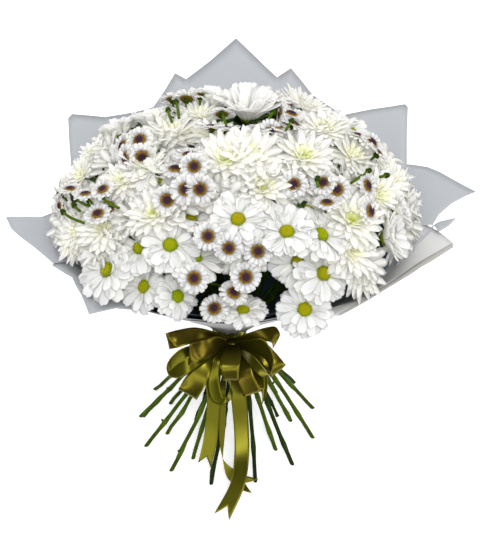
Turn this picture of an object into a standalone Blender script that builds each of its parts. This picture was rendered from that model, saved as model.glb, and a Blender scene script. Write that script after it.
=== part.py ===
"""A hand-tied bouquet that stands on its cut stems: sprays of daisies, doubles and buttons in a paper wrap.

Metres, +Z up. The stems pass through the tie in one spiral, so their cut ends stand on a ring and their
blooms cover a dome. The wrap is a set of sheets that follow one flaring surface, a little apart.
"""

import math

import bmesh
import bpy
import numpy as np
from mathutils import Vector

# The view that the sizes were read in: where the camera stood, and what one pixel is.
VIEW_TILT = math.radians(37)
VIEW_DISTANCE = 1.30
VIEW_FOCAL_PX = 1204
VIEW_MIDDLE_PX = (240, 269.5)
VIEW_AIM = Vector((0.003, -0.0315, 0.254))

# The dome that the blooms lie on
DOME_MIDDLE = Vector((0.0, -0.008, 0.296))
DOME_WIDTH = 0.190
DOME_DEPTH = 0.158
DOME_HEIGHT = 0.129
DOME_LOWEST = 0.15
STEM_MEETING_Z = 0.200
STEM_MEETING_DEPTHS = {"daisy": 0.66, "double": 0.60, "button": 0.68}
MOST_BLOOM_TILT = math.radians(66)

# The tie and the stems
TIE_Z = 0.150
TIE_X = -0.009
STEM_RADIUS = 0.00252
STEM_SIDES = 5
STEM_BEND_Z = 0.222
# How many stems a ring holds, its radius at the tie, and its spread below and above the tie
STEM_RINGS = (
    (13, 0.0133, 0.708, 0.88),
    (9, 0.0081, 0.51, 0.48),
    (3, 0.0030, 0.26, 0.16),
)
FOOT_SHIFT = Vector((-0.003, 0.0, 0.0))
STEM_LEAD = math.radians(78)
PEDICEL_RADIUS = 0.0012
STALK_SIDES = 3
STALK_START = 0.003
STALK_STEP = 0.005
LEAF_LENGTH = 0.030
LEAF_WIDTH = 0.013
LEAF_BELOW_MEETING = 0.022
CUP_RADIUS = 0.0045
CUP_HEIGHT = 0.005
FIT_GAP = 0.0003

# Blooms: outer radius, petals in a ring, eye radius
BLOOM_SIZES = {
    "daisy": (0.0265, 7, 0.0075),
    "double": (0.0230, 5, 0.0070),
    "button": (0.0125, 5, 0.0040),
}
PETAL_THICKNESS = 0.0009
BLOOM_GAP = 0.0010
TOUCHING = 1.52
CLEAR_OF_OWN = 1.60
SETTLING_STEPS = 200

# The wrap: how high it is at each distance from the axis, and beyond the last of them how much it rises
WRAP_PROFILE = ((0.0195, 0.1600), (0.048, 0.190), (0.100, 0.230), (0.188, 0.285))
WRAP_FRONT_SHARE = 0.82
WRAP_BACK_SHARE = 0.86
WRAP_FLARE_FRONT = 0.10
WRAP_FLARE_BACK = 1.15
WRAP_THICKNESS = 0.0012
WRAP_PITCH = 0.0023
WRAP_TURN = math.radians(15)
LINER_RADIUS = 0.172

# The ribbon
RIBBON_THICKNESS = 0.0009
RIBBON_WIDTH = 0.020
BAND_INNER_RADIUS = 0.0186
BAND_HEIGHT = 0.018
BAND_SIDES = 24
KNOT = Vector((-0.009, -0.0276, 0.1500))
KNOT_SIZE = (0.009, 0.0080)
TAIL_CLEARANCE = 0.005

# Moves the whole bunch sideways, so that the middle of its box is over the origin
CENTRE_SHIFT = Vector((-0.006, -0.0332, 0.0))

# Eyes of the blooms that the photo shows, by spray, as pixels
SEEN_SPRAYS = {
    "daisy_spray_middle": (
        "daisy",
        ((238, 218), (193, 215), (166, 180), (170, 244), (139, 246), (195, 256)),
    ),
    "daisy_spray_low_left": ("daisy", ((105, 269), (142, 286), (179, 296))),
    "daisy_spray_front": ("daisy", ((243, 308),)),
    "daisy_spray_right": (
        "daisy",
        ((305, 309), (325, 273), (299, 262), (287, 230), (323, 233), (308, 209)),
    ),
    "daisy_spray_far_right": ("daisy", ((408, 208), (401, 233))),
    "double_spray_top_left": ("double", ((173, 133), (201, 113), (214, 133))),
    "double_spray_top": ("double", ((227, 160), (249, 156), (263, 187))),
    "double_spray_top_right": ("double", ((304, 156), (324, 128), (353, 155))),
    "double_spray_right": ("double", ((388, 168), (379, 195), (395, 183))),
    "double_spray_low_right": ("double", ((352, 220), (350, 250), (361, 269))),
    "double_spray_upper_left": (
        "double",
        ((95, 151), (80, 174), (122, 180), (145, 165), (154, 214)),
    ),
    "double_spray_left": ("double", ((77, 231), (70, 244), (103, 228))),
    "button_spray_upper_left": (
        "button",
        ((139, 139), (121, 146), (124, 158), (142, 157)),
    ),
    "button_spray_top": (
        "button",
        ((211, 125), (222, 112), (226, 127)),
    ),
    "button_spray_back": ("button", ((173, 97), (187, 97), (200, 93))),
    "button_spray_middle": (
        "button",
        ((189, 153), (194, 166), (175, 167), (185, 189), (200, 189), (167, 200)),
    ),
    "button_spray_left": (
        "button",
        ((70, 187), (85, 192), (102, 188), (72, 199), (58, 206), (58, 191), (98, 213), (109, 206)),
    ),
    "button_spray_low": (
        "button",
        ((208, 236), (229, 248), (258, 251), (246, 277), (234, 292), (214, 308), (194, 278)),
    ),
    "button_spray_right": ("button", ((294, 184), (323, 182), (337, 189), (327, 201))),
    "button_spray_top_right": (
        "button",
        ((272, 131), (259, 127), (278, 125), (279, 113), (295, 122), (292, 112), (277, 103), (286, 103)),
    ),
    "button_spray_far_right": (
        "button",
        ((355, 131), (373, 141), (380, 152), (369, 185), (372, 215)),
    ),
}

# Blooms that the photo shows from behind or hides, as their places in plan, in metres
HIDDEN_SPRAYS = {
    "daisy_spray_back": ("daisy", ((0.000, 0.060), (-0.035, 0.085), (0.010, 0.105), (-0.030, 0.128))),
    "daisy_spray_back_left": ("daisy", ((-0.075, 0.045), (-0.110, 0.065), (-0.075, 0.095), (-0.135, 0.035))),
    "daisy_spray_back_right": ("daisy", ((0.118, 0.055), (0.145, 0.055), (0.105, 0.090), (0.135, 0.020))),
    "double_spray_back": ("double", ((0.055, 0.055), (0.060, 0.095), (0.030, 0.130), (0.085, 0.070))),
}

# Corners of each wrap sheet on the photo, as pixels, in order round the bunch. A single number is a place
# on the rim that the blooms hide, as its direction in plan in degrees.
WRAP_SHEETS = {
    "wrap_sheet_back": (
        1,
        (60, (313, 95), (291, 68), (277, 77), (236, 38), (186, 79), (175, 73), (153, 107), 120),
    ),
    "wrap_sheet_left": (
        2,
        (105, (153, 107), (105, 117), (68, 115), (71, 165), (57, 210), (40, 217), (6, 217), (11, 226), (52, 262)),
    ),
    "wrap_sheet_right": (
        2,
        ((433, 222), (475, 192), (430, 168), (406, 163), (407, 105), (343, 115), (313, 95), 75),
    ),
    "wrap_sheet_low_left": (3, (-165, (52, 262), (73, 280), (89, 313), -120, -75)),
    "wrap_sheet_low_right": (4, (-105, -45, (453, 245), (446, 226), (433, 222), 15)),
}

# Tips of the loops of the bow on the photo, how far in front of the axis they lie, and their half-opening
BOW_LOOPS = {
    "left": ((170, 339), -0.064, 0.0075),
    "left_low": ((168, 363), -0.068, 0.0085),
    "low_left": ((185, 391), -0.080, 0.0075),
    "middle": ((230, 384), -0.086, 0.0065),
    "low_right": ((255, 394), -0.084, 0.0070),
    "right_low": ((280, 370), -0.072, 0.0085),
    "right": ((276, 336), -0.064, 0.0060),
}

# Middle line of each ribbon tail on the photo, its width in metres, and where it leaves the knot
RIBBON_TAILS = {
    "ribbon_tail_long": (
        ((239, 385), (242, 405), (244, 436), (243, 470), (238, 494), (226, 517)),
        0.020,
        Vector((0.0045, -0.001, -0.0067)),
    ),
    "ribbon_tail_short": (((217, 380), (211, 405), (209, 436), (210, 466)), 0.018, Vector((-0.0055, 0.001, -0.0067))),
}


def sight_line(pixel):
    """Where the camera stood, and the direction in which it saw this pixel."""
    forward = Vector((0, math.cos(VIEW_TILT), -math.sin(VIEW_TILT)))
    upward = Vector((0, math.sin(VIEW_TILT), math.cos(VIEW_TILT)))
    eye = VIEW_AIM - forward * VIEW_DISTANCE
    across = pixel[0] - VIEW_MIDDLE_PX[0]
    above = VIEW_MIDDLE_PX[1] - pixel[1]
    return eye, (forward * VIEW_FOCAL_PX + Vector((across, 0, 0)) + upward * above).normalized()


def shrunk(vector):
    """The vector on the scale where the dome is a unit sphere."""
    return Vector((vector.x / DOME_WIDTH, vector.y / DOME_DEPTH, vector.z / DOME_HEIGHT))


def to_unit(point):
    return shrunk(point - DOME_MIDDLE)


def from_unit(unit):
    """The point of the dome in this direction of the unit sphere, kept above the dome's lowest row."""
    unit = unit.normalized()
    height = max(unit.z, DOME_LOWEST)
    across = Vector((unit.x, unit.y, 0)).normalized() * math.sqrt(1 - height**2) if unit.z < 0.999 else Vector()
    return DOME_MIDDLE + Vector((across.x * DOME_WIDTH, across.y * DOME_DEPTH, height * DOME_HEIGHT))


def on_dome(pixel):
    """The point of the dome that this pixel shows, or the nearest to it on the dome's outline."""
    eye, direction = sight_line(pixel)
    start = to_unit(eye)
    step = shrunk(direction)
    middle = -start.dot(step) / step.dot(step)
    nearest = start + step * middle
    inside = 1 - nearest.dot(nearest)
    if inside > 0:
        nearest = start + step * (middle - math.sqrt(inside / step.dot(step)))
    return from_unit(nearest)


def dome_at(x, y):
    unit = to_unit(Vector((x, y, DOME_MIDDLE.z)))
    rise = max(1 - unit.length_squared, DOME_LOWEST**2)
    return from_unit(unit + Vector((0, 0, math.sqrt(rise))))


def facing(point):
    """The way a bloom at this point of the dome faces."""
    normal = shrunk(to_unit(point)).normalized()
    across = Vector((normal.x, normal.y, 0))
    tilt = math.atan2(across.length, normal.z)
    if tilt <= MOST_BLOOM_TILT:
        return normal
    across = across.normalized() * math.sin(MOST_BLOOM_TILT)
    return Vector((across.x, across.y, math.cos(MOST_BLOOM_TILT)))


def chain(points):
    """Pairs that link these points as one tree of shortest steps, parent first."""
    linked, links = [0], []
    while len(linked) < len(points):
        parent, child = min(
            ((a, b) for a in linked for b in range(len(points)) if b not in linked),
            key=lambda pair: (points[pair[0]] - points[pair[1]]).length,
        )
        linked.append(child)
        links.append((parent, child))
    return links


def settled(sprays):
    """Moves the blooms of different sprays apart and keeps each spray's own blooms touching."""
    owner, points, radii, links = [], [], [], []
    for name, (kind, places) in sprays.items():
        first = len(points)
        links += [(first + a, first + b) for a, b in chain(places)]
        points += places
        owner += [name] * len(places)
        radii += [BLOOM_SIZES[kind][0]] * len(places)
    linked = set(links)
    for _ in range(SETTLING_STEPS):
        moves = [Vector() for _ in points]
        for a, here in enumerate(points):
            for b in range(a + 1, len(points)):
                apart = points[b] - here
                same = owner[a] == owner[b]
                least = CLEAR_OF_OWN * radii[a] if same else radii[a] + radii[b] + BLOOM_GAP
                most = 9
                if (a, b) in linked:
                    least, most = 1.42 * radii[a], TOUCHING * radii[a]
                wanted = min(max(apart.length, least), most)
                push = apart.normalized() * (apart.length - wanted) * (0.5 if wanted == most else 0.35)
                share = radii[b] / (radii[a] + radii[b])
                moves[a] += push * share
                moves[b] -= push * (1 - share)
        points = [from_unit(to_unit(point + move)) for point, move in zip(points, moves)]
    shares = [1.0] * len(points)
    for a, here in enumerate(points):
        for b in range(a + 1, len(points)):
            if owner[a] != owner[b]:
                share = ((points[b] - here).length - BLOOM_GAP) / (radii[a] + radii[b])
                shares[a] = min(shares[a], share)
                shares[b] = min(shares[b], share)
    result = {}
    for index, name in enumerate(owner):
        result.setdefault(name, []).append((points[index], radii[index] * shares[index]))
    return result


def basis(axis, toward):
    """Two directions square to the axis, the first as near as it can be to the one asked for."""
    first = toward - axis * toward.dot(axis)
    if first.length < 1e-6:
        first = axis.orthogonal()
    first.normalize()
    return first, axis.cross(first)


def tube(points, radii, sides, start_on_floor=False):
    """A closed round bar through these points, as vertices and faces."""
    tangents = []
    for index in range(len(points)):
        before = points[max(index - 1, 0)]
        after = points[min(index + 1, len(points) - 1)]
        tangents.append((after - before).normalized())
    side = tangents[0].orthogonal()
    vertices, faces = [], []
    for point, radius, tangent in zip(points, radii, tangents):
        side, other = basis(tangent, side)
        for corner in range(sides):
            angle = 2 * math.pi * corner / sides
            vertices.append(point + (side * math.cos(angle) + other * math.sin(angle)) * radius)
    if start_on_floor:
        for corner in range(sides):
            vertices[corner] = vertices[corner] - tangents[0] * (vertices[corner].z / tangents[0].z)
    for ring in range(len(points) - 1):
        for corner in range(sides):
            here = ring * sides + corner
            beside = ring * sides + (corner + 1) % sides
            faces.append((here, beside, beside + sides, here + sides))
    faces.append(tuple(range(sides))[::-1])
    faces.append(tuple(range(len(vertices) - sides, len(vertices))))
    return vertices, faces


def curve(start, leave, arrive, end, count):
    """Points of a smooth curve that leaves and arrives by way of its two inner handles."""
    points = []
    for index in range(count + 1):
        t = index / count
        points.append(
            start * (1 - t) ** 3 + leave * 3 * t * (1 - t) ** 2 + arrive * 3 * t * t * (1 - t) + end * t**3
        )
    return points


def petals_turn(first, second, petals, neighbours):
    """The turn that brings a petal nearest to the direction of each neighbour."""
    step = 2 * math.pi / petals
    ways = [math.atan2(neighbour.dot(second), neighbour.dot(first)) for neighbour in neighbours]
    return min(
        (step * part / 24 for part in range(24)),
        key=lambda turn: max([abs((way - turn + step / 2) % step - step / 2) for way in ways], default=0),
    )


def back_along(points, distance):
    """The point this far back from the end of a line of points."""
    for after, before in zip(points[::-1], points[-2::-1]):
        length = (after - before).length
        if distance < length:
            return after.lerp(before, distance / length)
        distance -= length
    return points[0]


def bloom(kind, base, axis, neighbours, radius):
    """One bloom as a closed shape: a ring of petals round an eye, and in a double a raised inner ring.

    Its petals point towards its neighbours in the spray, so that the spray's blooms hold together."""
    size, petals, eye = BLOOM_SIZES[kind]
    scale = radius / size
    eye *= scale
    first, second = basis(axis, Vector((1, 0, 0)))
    turned = petals_turn(first, second, petals, neighbours)
    first, second = (
        first * math.cos(turned) + second * math.sin(turned),
        second * math.cos(turned) - first * math.sin(turned),
    )
    vertices, faces = [], []

    def ring(distance, height, turn):
        start = len(vertices)
        for index in range(petals):
            angle = 2 * math.pi * (index + turn) / petals
            around = first * math.cos(angle) + second * math.sin(angle)
            vertices.append(base + around * distance + axis * height)
        return [start + index for index in range(petals)]

    def petal_row(low, high, reach, rise, half_width):
        for index in range(petals):
            after = (index + 1) % petals
            angle = 2 * math.pi * index / petals
            around = first * math.cos(angle) + second * math.sin(angle)
            aside = second * math.cos(angle) - first * math.sin(angle)
            start = len(vertices)
            if half_width == 0:
                for height in (rise, rise + PETAL_THICKNESS):
                    vertices.append(base + around * reach + axis * height)
                a, b, c, d = low[index], low[after], high[after], high[index]
                e, h = start, start + 1
                faces.extend(((b, a, e), (d, c, h), (a, d, h, e), (c, b, e, h)))
                continue
            for height in (rise, rise + PETAL_THICKNESS):
                for side in (-half_width, half_width):
                    vertices.append(base + around * reach + aside * side + axis * height)
            a, b, c, d = low[index], low[after], high[after], high[index]
            e, f, h, g = start, start + 1, start + 2, start + 3
            faces.extend(((b, a, e, f), (d, c, g, h), (a, d, h, e), (c, b, f, g), (f, e, h, g)))

    low = ring(eye, 0, -0.5)
    high = ring(eye, PETAL_THICKNESS, -0.5)
    faces.append(tuple(low[::-1]))
    if kind == "daisy":
        petal_row(low, high, radius, 0.0030 * scale, 0.0068 * scale)
        top = 0.0035 * scale
    elif kind == "button":
        petal_row(low, high, radius, 0.0016 * scale, 0.0044 * scale)
        top = 0.0030 * scale
    else:
        petal_row(low, high, radius, 0.0060 * scale, 0.0068 * scale)
        low = ring(eye * 0.86, 0.0040 * scale, -0.5)
        middle = ring(eye * 0.80, 0.0052 * scale, -0.5)
        for index in range(petals):
            after = (index + 1) % petals
            faces.append((high[index], high[after], low[after], low[index]))
        petal_row(low, middle, radius * 0.66, 0.0120 * scale, 0)
        high = middle
        top = 0.0100 * scale
    vertices.append(base + axis * top)
    for index in range(petals):
        faces.append((high[index], high[(index + 1) % petals], len(vertices) - 1))
    return vertices, faces


def mesh_object(name, piece):
    vertices, faces = piece
    mesh = bpy.data.meshes.new(name)
    mesh.from_pydata([vertex + CENTRE_SHIFT for vertex in vertices], [], faces)
    shape = bmesh.new()
    shape.from_mesh(mesh)
    bmesh.ops.triangulate(shape, faces=shape.faces)
    bmesh.ops.recalc_face_normals(shape, faces=shape.faces)
    shape.to_mesh(mesh)
    shape.free()
    return bpy.data.objects.new(name, mesh)


def node(name, pieces):
    """One body made of pieces that overlap."""
    whole = mesh_object(name, pieces[0])
    bpy.context.scene.collection.objects.link(whole)
    if len(pieces) == 1:
        return
    others = bpy.data.collections.new(name + "_pieces")
    bpy.context.scene.collection.children.link(others)
    for piece in pieces[1:]:
        others.objects.link(mesh_object(name + "_piece", piece))
    union = whole.modifiers.new("union", "BOOLEAN")
    union.operation = "UNION"
    union.operand_type = "COLLECTION"
    union.collection = others
    union.solver = "MANIFOLD"
    graph = bpy.context.evaluated_depsgraph_get()
    joined = bpy.data.meshes.new_from_object(whole.evaluated_get(graph))
    whole.modifiers.remove(union)
    whole.data = joined
    for other in list(others.objects):
        bpy.data.objects.remove(other)
    bpy.data.collections.remove(others)


def spray_meeting(kind, blooms):
    """Where the stalks of a spray leave its stem."""
    middle = sum((point for point, _ in blooms), Vector()) / len(blooms)
    anchor = Vector((0, 0, STEM_MEETING_Z))
    return anchor + (middle - anchor) * STEM_MEETING_DEPTHS[kind]


def stem_rulings(meetings):
    """For each spray, its stem's points at the floor, at the tie and above it, in rings by how far out it ends."""
    outward = sorted(meetings, key=lambda name: -Vector((meetings[name].x, meetings[name].y)).length)
    rulings = {}
    taken = 0
    for count, radius, spread_below, spread_above in STEM_RINGS:
        names = outward[taken : taken + count]
        taken += count
        names.sort(key=lambda name: math.atan2(meetings[name].y, meetings[name].x))
        turn = 2 * math.pi / len(names)
        ends = [math.atan2(meetings[name].y, meetings[name].x) - STEM_LEAD for name in names]
        sines = sum(math.sin(end - turn * index) for index, end in enumerate(ends))
        cosines = sum(math.cos(end - turn * index) for index, end in enumerate(ends))
        start = math.atan2(sines, cosines)
        for index, name in enumerate(names):
            angle = start + turn * index
            at_tie = Vector((math.cos(angle) * radius + TIE_X, math.sin(angle) * radius, TIE_Z))
            along = Vector((-math.sin(angle), math.cos(angle), 0))
            foot = at_tie - along * spread_below * TIE_Z - Vector((0, 0, TIE_Z)) + FOOT_SHIFT
            rise = STEM_BEND_Z - TIE_Z
            bend = at_tie + along * spread_above * rise + Vector((0, 0, rise))
            rulings[name] = (foot, at_tie, bend)
    return rulings


def leaf(start):
    """A pointed leaf that stands out from a stem, away from the middle of the bunch."""
    outward = Vector((start.x, start.y, 0)).normalized()
    rising = (outward + Vector((0, 0, 0.9))).normalized()
    path = [start, start + rising * LEAF_LENGTH * 0.5, start + (rising + outward * 0.25) * LEAF_LENGTH]
    across = outward.cross(Vector((0, 0, 1)))
    return strip(path, [across] * 3, [0.003, LEAF_WIDTH, 0.002], PETAL_THICKNESS)


def build_spray(name, kind, blooms, meeting, ruling):
    foot, at_tie, bend = ruling
    line = (bend - at_tie).normalized()
    arrive = (meeting - Vector((0, 0, STEM_MEETING_Z - 0.05))).normalized()
    upper = curve(bend, bend + line * 0.03, meeting - arrive * 0.02, meeting, 3)
    stem = [foot, at_tie] + upper
    radii = [STEM_RADIUS] * (len(stem) - 1) + [STEM_RADIUS * 0.8]
    green = [tube(stem, radii, STEM_SIDES, start_on_floor=True)]
    links = chain([point for point, _ in blooms])
    widest_first = sorted(range(len(blooms)), key=lambda index: (blooms[index][0] - meeting).normalized().dot(arrive))
    white = []
    for index, (point, radius) in enumerate(blooms):
        axis = facing(point)
        near = [blooms[a + b - index][0] - point for a, b in links if index in (a, b)]
        white.append(bloom(kind, point, axis, near, radius))
        scale = radius / BLOOM_SIZES["daisy"][0] if kind != "button" else 0.6
        below = point - axis * CUP_HEIGHT
        order = widest_first.index(index)
        start = back_along(stem, STALK_START + STALK_STEP * (len(blooms) - 1 - order))
        away = (below - start).normalized()
        stalk = curve(start, start + away * 0.020, below - axis * 0.022, below, 2)
        stalk.append(point - axis * FIT_GAP)
        green.append(tube(stalk, [PEDICEL_RADIUS] * 3 + [CUP_RADIUS * scale], STALK_SIDES))
    if kind == "daisy":
        green.append(leaf(back_along(stem, LEAF_BELOW_MEETING)))
    node(name + "_stems", green)
    node(name + "_blooms", white)


def in_round(x, y):
    """A point in plan on the scale where the wrap is round: about the tie at its foot, shallower in front at its rim."""
    foot, rim = 2 * WRAP_PROFILE[0][0], WRAP_PROFILE[-1][0]
    near = min(max((rim - math.hypot(x, y)) / (rim - foot), 0.0), 1.0)
    share = WRAP_FRONT_SHARE if y < 0 else WRAP_BACK_SHARE
    return x - TIE_X * near, y * (1 + (1 / share - 1) * (1 - near))


def in_plan(distance, angle):
    """The point in plan at this distance and direction on the scale where the wrap is round."""
    x, y = distance * math.cos(angle), distance * math.sin(angle)
    round_x, round_y = x, y
    for _ in range(12):
        seen_x, seen_y = in_round(x, y)
        x += round_x - seen_x
        y += round_y - seen_y
    return x, y


def wrap_height(x, y, layer):
    """The height of this layer of the wrap over a point in plan."""
    x, y = in_round(x, y)
    distance = math.hypot(x, y)
    height = float(np.interp(distance, *zip(*WRAP_PROFILE)))
    back = max(0.0, y / distance)
    flare = WRAP_FLARE_FRONT + (WRAP_FLARE_BACK - WRAP_FLARE_FRONT) * back**1.5
    return height + max(0.0, distance - WRAP_PROFILE[-1][0]) * flare - layer * WRAP_PITCH


def on_wrap(pixel, layer):
    """The point in plan where the line of sight through this pixel meets a layer of the wrap."""
    eye, direction = sight_line(pixel)
    near, far = 0.8, 2.2
    for _ in range(40):
        middle = (near + far) / 2
        point = eye + direction * middle
        if point.z > wrap_height(point.x, point.y, layer):
            near = middle
        else:
            far = middle
    return eye + direction * near


def sheet(outline, layer):
    """A sheet of the wrap between the tie and this outline, as a closed thin solid.

    The outline holds a distance and a direction for each point. One that ends where it starts makes a whole cone."""
    whole = outline[0] == outline[-1]
    if whole:
        outline = outline[:-1]
    (first, low), (second, high) = WRAP_PROFILE[:2]
    inner = first + layer * WRAP_PITCH * (second - first) / (high - low)
    last = min(distance for distance, _ in outline)
    rows = [inner] + [distance for distance, _ in WRAP_PROFILE[1:] if distance < last]
    vertices, faces = [], []
    for thickness in (0, -WRAP_THICKNESS):
        for reach, angle in outline:
            for distance in rows + [reach]:
                x, y = in_plan(distance, angle)
                vertices.append(Vector((x, y, wrap_height(x, y, layer) + thickness)))
    count, row = len(outline), len(rows) + 1
    under = count * row
    for column in range(count if whole else count - 1):
        a, b = column * row, (column + 1) % count * row
        for step in range(row - 1):
            faces.append((a + step, a + step + 1, b + step + 1, b + step))
            faces.append((under + a + step, under + b + step, under + b + step + 1, under + a + step + 1))
        faces.append((a, b, under + b, under + a))
        a, b = a + row - 1, b + row - 1
        faces.append((b, a, under + a, under + b))
    if not whole:
        for step in range(row - 1):
            faces.append((step, under + step, under + step + 1, step + 1))
            a = (count - 1) * row + step
            faces.append((a + 1, under + a + 1, under + a, a))
    return vertices, faces


def filled(corners):
    """The corners as distances and directions, with a point between them at each whole turn step."""
    corners = [Vector((*in_round(corner[0], corner[1]), 0)) for corner in corners]
    points = []
    for here, after in zip(corners, corners[1:]):
        points.append(here)
        start = math.atan2(here.y, here.x) / WRAP_TURN
        half = math.pi / WRAP_TURN
        end = start + (math.atan2(after.y, after.x) / WRAP_TURN - start + half) % (2 * half) - half
        steps = range(math.ceil(min(start, end) + 0.2), math.floor(max(start, end) - 0.2) + 1)
        for step in steps if end > start else reversed(steps):
            angle = step * WRAP_TURN
            normal = Vector((-math.sin(angle), math.cos(angle), 0))
            before, beyond = here.dot(normal), after.dot(normal)
            points.append(here.lerp(after, before / (before - beyond)))
    points.append(corners[-1])
    return [(max(point.length, WRAP_PROFILE[-1][0] + 0.002), math.atan2(point.y, point.x)) for point in points]


def build_wrap():
    node("wrap_liner", [sheet([(LINER_RADIUS, index % 24 * WRAP_TURN) for index in range(25)], 0)])
    for name, (layer, places) in WRAP_SHEETS.items():
        corners = []
        for place in places:
            if isinstance(place, int):
                corners.append(in_plan(WRAP_PROFILE[-1][0] + 0.003, math.radians(place)))
            else:
                corners.append(on_wrap(place, layer)[:2])
        node(name, [sheet(filled(corners), layer)])


def strip(points, across, widths, thickness, cut=0.0):
    """A flat strip along these points, as wide as asked in the given directions. A cut ends it in a V."""
    places = (-0.5, 0, 0.5) if cut else (-0.5, 0.5)
    vertices, faces = [], []
    for index, point in enumerate(points):
        before = points[max(index - 1, 0)]
        after = points[min(index + 1, len(points) - 1)]
        tangent = (after - before).normalized()
        side, normal = basis(tangent, across[index])
        for height in (-thickness / 2, thickness / 2):
            for place in places:
                corner = point + side * place * widths[index] + normal * height
                if cut and index == len(points) - 1 and place == 0:
                    corner = corner - tangent * cut
                vertices.append(corner)
    count = len(places)
    around = list(range(count)) + list(range(2 * count - 1, count - 1, -1))
    for index in range(len(points) - 1):
        a, b = index * 2 * count, (index + 1) * 2 * count
        for i, j in zip(around, around[1:] + around[:1]):
            faces.append((a + i, a + j, b + j, b + i))
    last = len(vertices) - 2 * count
    for i in range(count - 1):
        faces.append((i, i + count, i + count + 1, i + 1))
        faces.append((last + i, last + i + 1, last + i + count + 1, last + i + count))
    return vertices, faces


def at_depth(pixel, y):
    """The point that this pixel shows on the upright plane at this y."""
    eye, direction = sight_line(pixel)
    return eye + direction * ((y - eye.y) / direction.y)


def stems_radius(z):
    """How far out the stems reach at this height."""
    _, radius, below, above = STEM_RINGS[0]
    spread = above if z > TIE_Z else below
    return math.hypot(radius, (z - TIE_Z) * spread) + STEM_RADIUS * 1.3


def on_stems(pixel, clearance):
    """The point that this pixel shows on a surface just outside the stems, or on the floor before them."""
    eye, direction = sight_line(pixel)
    distance = 0.9
    while True:
        point = eye + direction * distance
        around = math.hypot(point.x - TIE_X, point.y)
        if around < stems_radius(max(point.z, 0)) + clearance or point.z < clearance:
            return point
        distance += 0.0005


def build_ribbon():
    outer = BAND_INNER_RADIUS + RIBBON_THICKNESS
    vertices, faces = [], []
    rows = ((BAND_INNER_RADIUS, -0.5), (outer, -0.5), (outer, 0.5), (BAND_INNER_RADIUS, 0.5))
    for index in range(BAND_SIDES):
        angle = 2 * math.pi * index / BAND_SIDES
        for radius, place in rows:
            vertices.append(
                Vector((math.cos(angle) * radius + TIE_X, math.sin(angle) * radius, TIE_Z + place * BAND_HEIGHT))
            )
    for index in range(BAND_SIDES):
        after = (index + 1) % BAND_SIDES
        for row in range(4):
            beside = (row + 1) % 4
            faces.append((index * 4 + row, after * 4 + row, after * 4 + beside, index * 4 + beside))
    node("ribbon_band", [(vertices, faces)])

    knot = tube(
        [KNOT + Vector((x * KNOT_SIZE[0], 0, 0)) for x in (-1, 0, 1)],
        [KNOT_SIZE[1] * share for share in (0.7, 1, 0.7)],
        6,
    )
    pieces = [knot]
    for pixel, depth, opening in BOW_LOOPS.values():
        tip = at_depth(pixel, depth)
        out = (tip - KNOT).normalized()
        length = (tip - KNOT).length
        away = Vector((0, -1, 0))
        up, across = basis(out, away)
        profile = ((0.02, 0.12), (0.50, 0.9), (0.85, 0.9), (1.0, 0.0))
        path = [KNOT + out * length * along + up * opening * side for along, side in profile]
        path += [KNOT + out * length * along - up * opening * side for along, side in reversed(profile[:-1])]
        widths = [RIBBON_WIDTH * share for share in (0.45, 0.8, 0.9, 0.9, 0.9, 0.8, 0.45)]
        pieces.append(strip(path, [across] * len(path), widths, RIBBON_THICKNESS))
    node("ribbon_bow", pieces)

    for name, (pixels, width, start) in RIBBON_TAILS.items():
        path = [KNOT + start] + [on_stems(pixel, TAIL_CLEARANCE) for pixel in pixels]
        widths = [width * 0.45] + [width] * (len(path) - 1)
        node(name, [strip(path, [Vector((1, 0, 0))] * len(path), widths, RIBBON_THICKNESS, cut=width * 0.4)])


def main():
    for thing in list(bpy.data.objects):
        bpy.data.objects.remove(thing)
    sprays = {}
    for name, (kind, pixels) in SEEN_SPRAYS.items():
        sprays[name] = (kind, [on_dome(pixel) for pixel in pixels])
    for name, (kind, places) in HIDDEN_SPRAYS.items():
        sprays[name] = (kind, [dome_at(x, y) for x, y in places])
    blooms = settled(sprays)
    meetings = {name: spray_meeting(sprays[name][0], found) for name, found in blooms.items()}
    rulings = stem_rulings(meetings)
    for name, found in blooms.items():
        build_spray(name, sprays[name][0], found, meetings[name], rulings[name])
    build_wrap()
    build_ribbon()


main()
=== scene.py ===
"""The looks of the hand-tied bouquet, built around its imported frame.

Metres, +Z up. Places are worked out as in the part's source, from the photo's pixels and the same named
sizes, and then moved sideways with the rest of the part.
"""

import math
import zlib
from collections import namedtuple

import bpy
import numpy as np
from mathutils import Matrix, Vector


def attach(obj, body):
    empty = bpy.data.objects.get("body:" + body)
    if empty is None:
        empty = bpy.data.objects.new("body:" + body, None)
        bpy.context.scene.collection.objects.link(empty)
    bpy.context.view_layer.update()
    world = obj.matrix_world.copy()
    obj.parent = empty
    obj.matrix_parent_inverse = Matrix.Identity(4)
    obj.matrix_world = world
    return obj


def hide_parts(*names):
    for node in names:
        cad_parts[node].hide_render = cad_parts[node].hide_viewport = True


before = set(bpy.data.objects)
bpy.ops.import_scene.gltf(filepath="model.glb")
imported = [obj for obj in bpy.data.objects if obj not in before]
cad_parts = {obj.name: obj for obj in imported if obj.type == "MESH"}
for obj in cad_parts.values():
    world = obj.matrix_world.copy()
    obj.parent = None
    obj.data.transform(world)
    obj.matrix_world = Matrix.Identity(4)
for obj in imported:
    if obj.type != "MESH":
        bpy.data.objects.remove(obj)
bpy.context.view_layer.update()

# The camera, as the part's source has it
VIEW_TILT = math.radians(37)
VIEW_DISTANCE = 1.30
VIEW_FOCAL_PX = 1204
VIEW_HEIGHT_PX = 539
VIEW_MIDDLE_PX = (240, 269.5)
VIEW_FORWARD = Vector((0, math.cos(VIEW_TILT), -math.sin(VIEW_TILT)))
VIEW_UPWARD = Vector((0, math.sin(VIEW_TILT), math.cos(VIEW_TILT)))
VIEW_EYE = Vector((0.003, -0.0315, 0.254)) - VIEW_FORWARD * VIEW_DISTANCE
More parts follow.
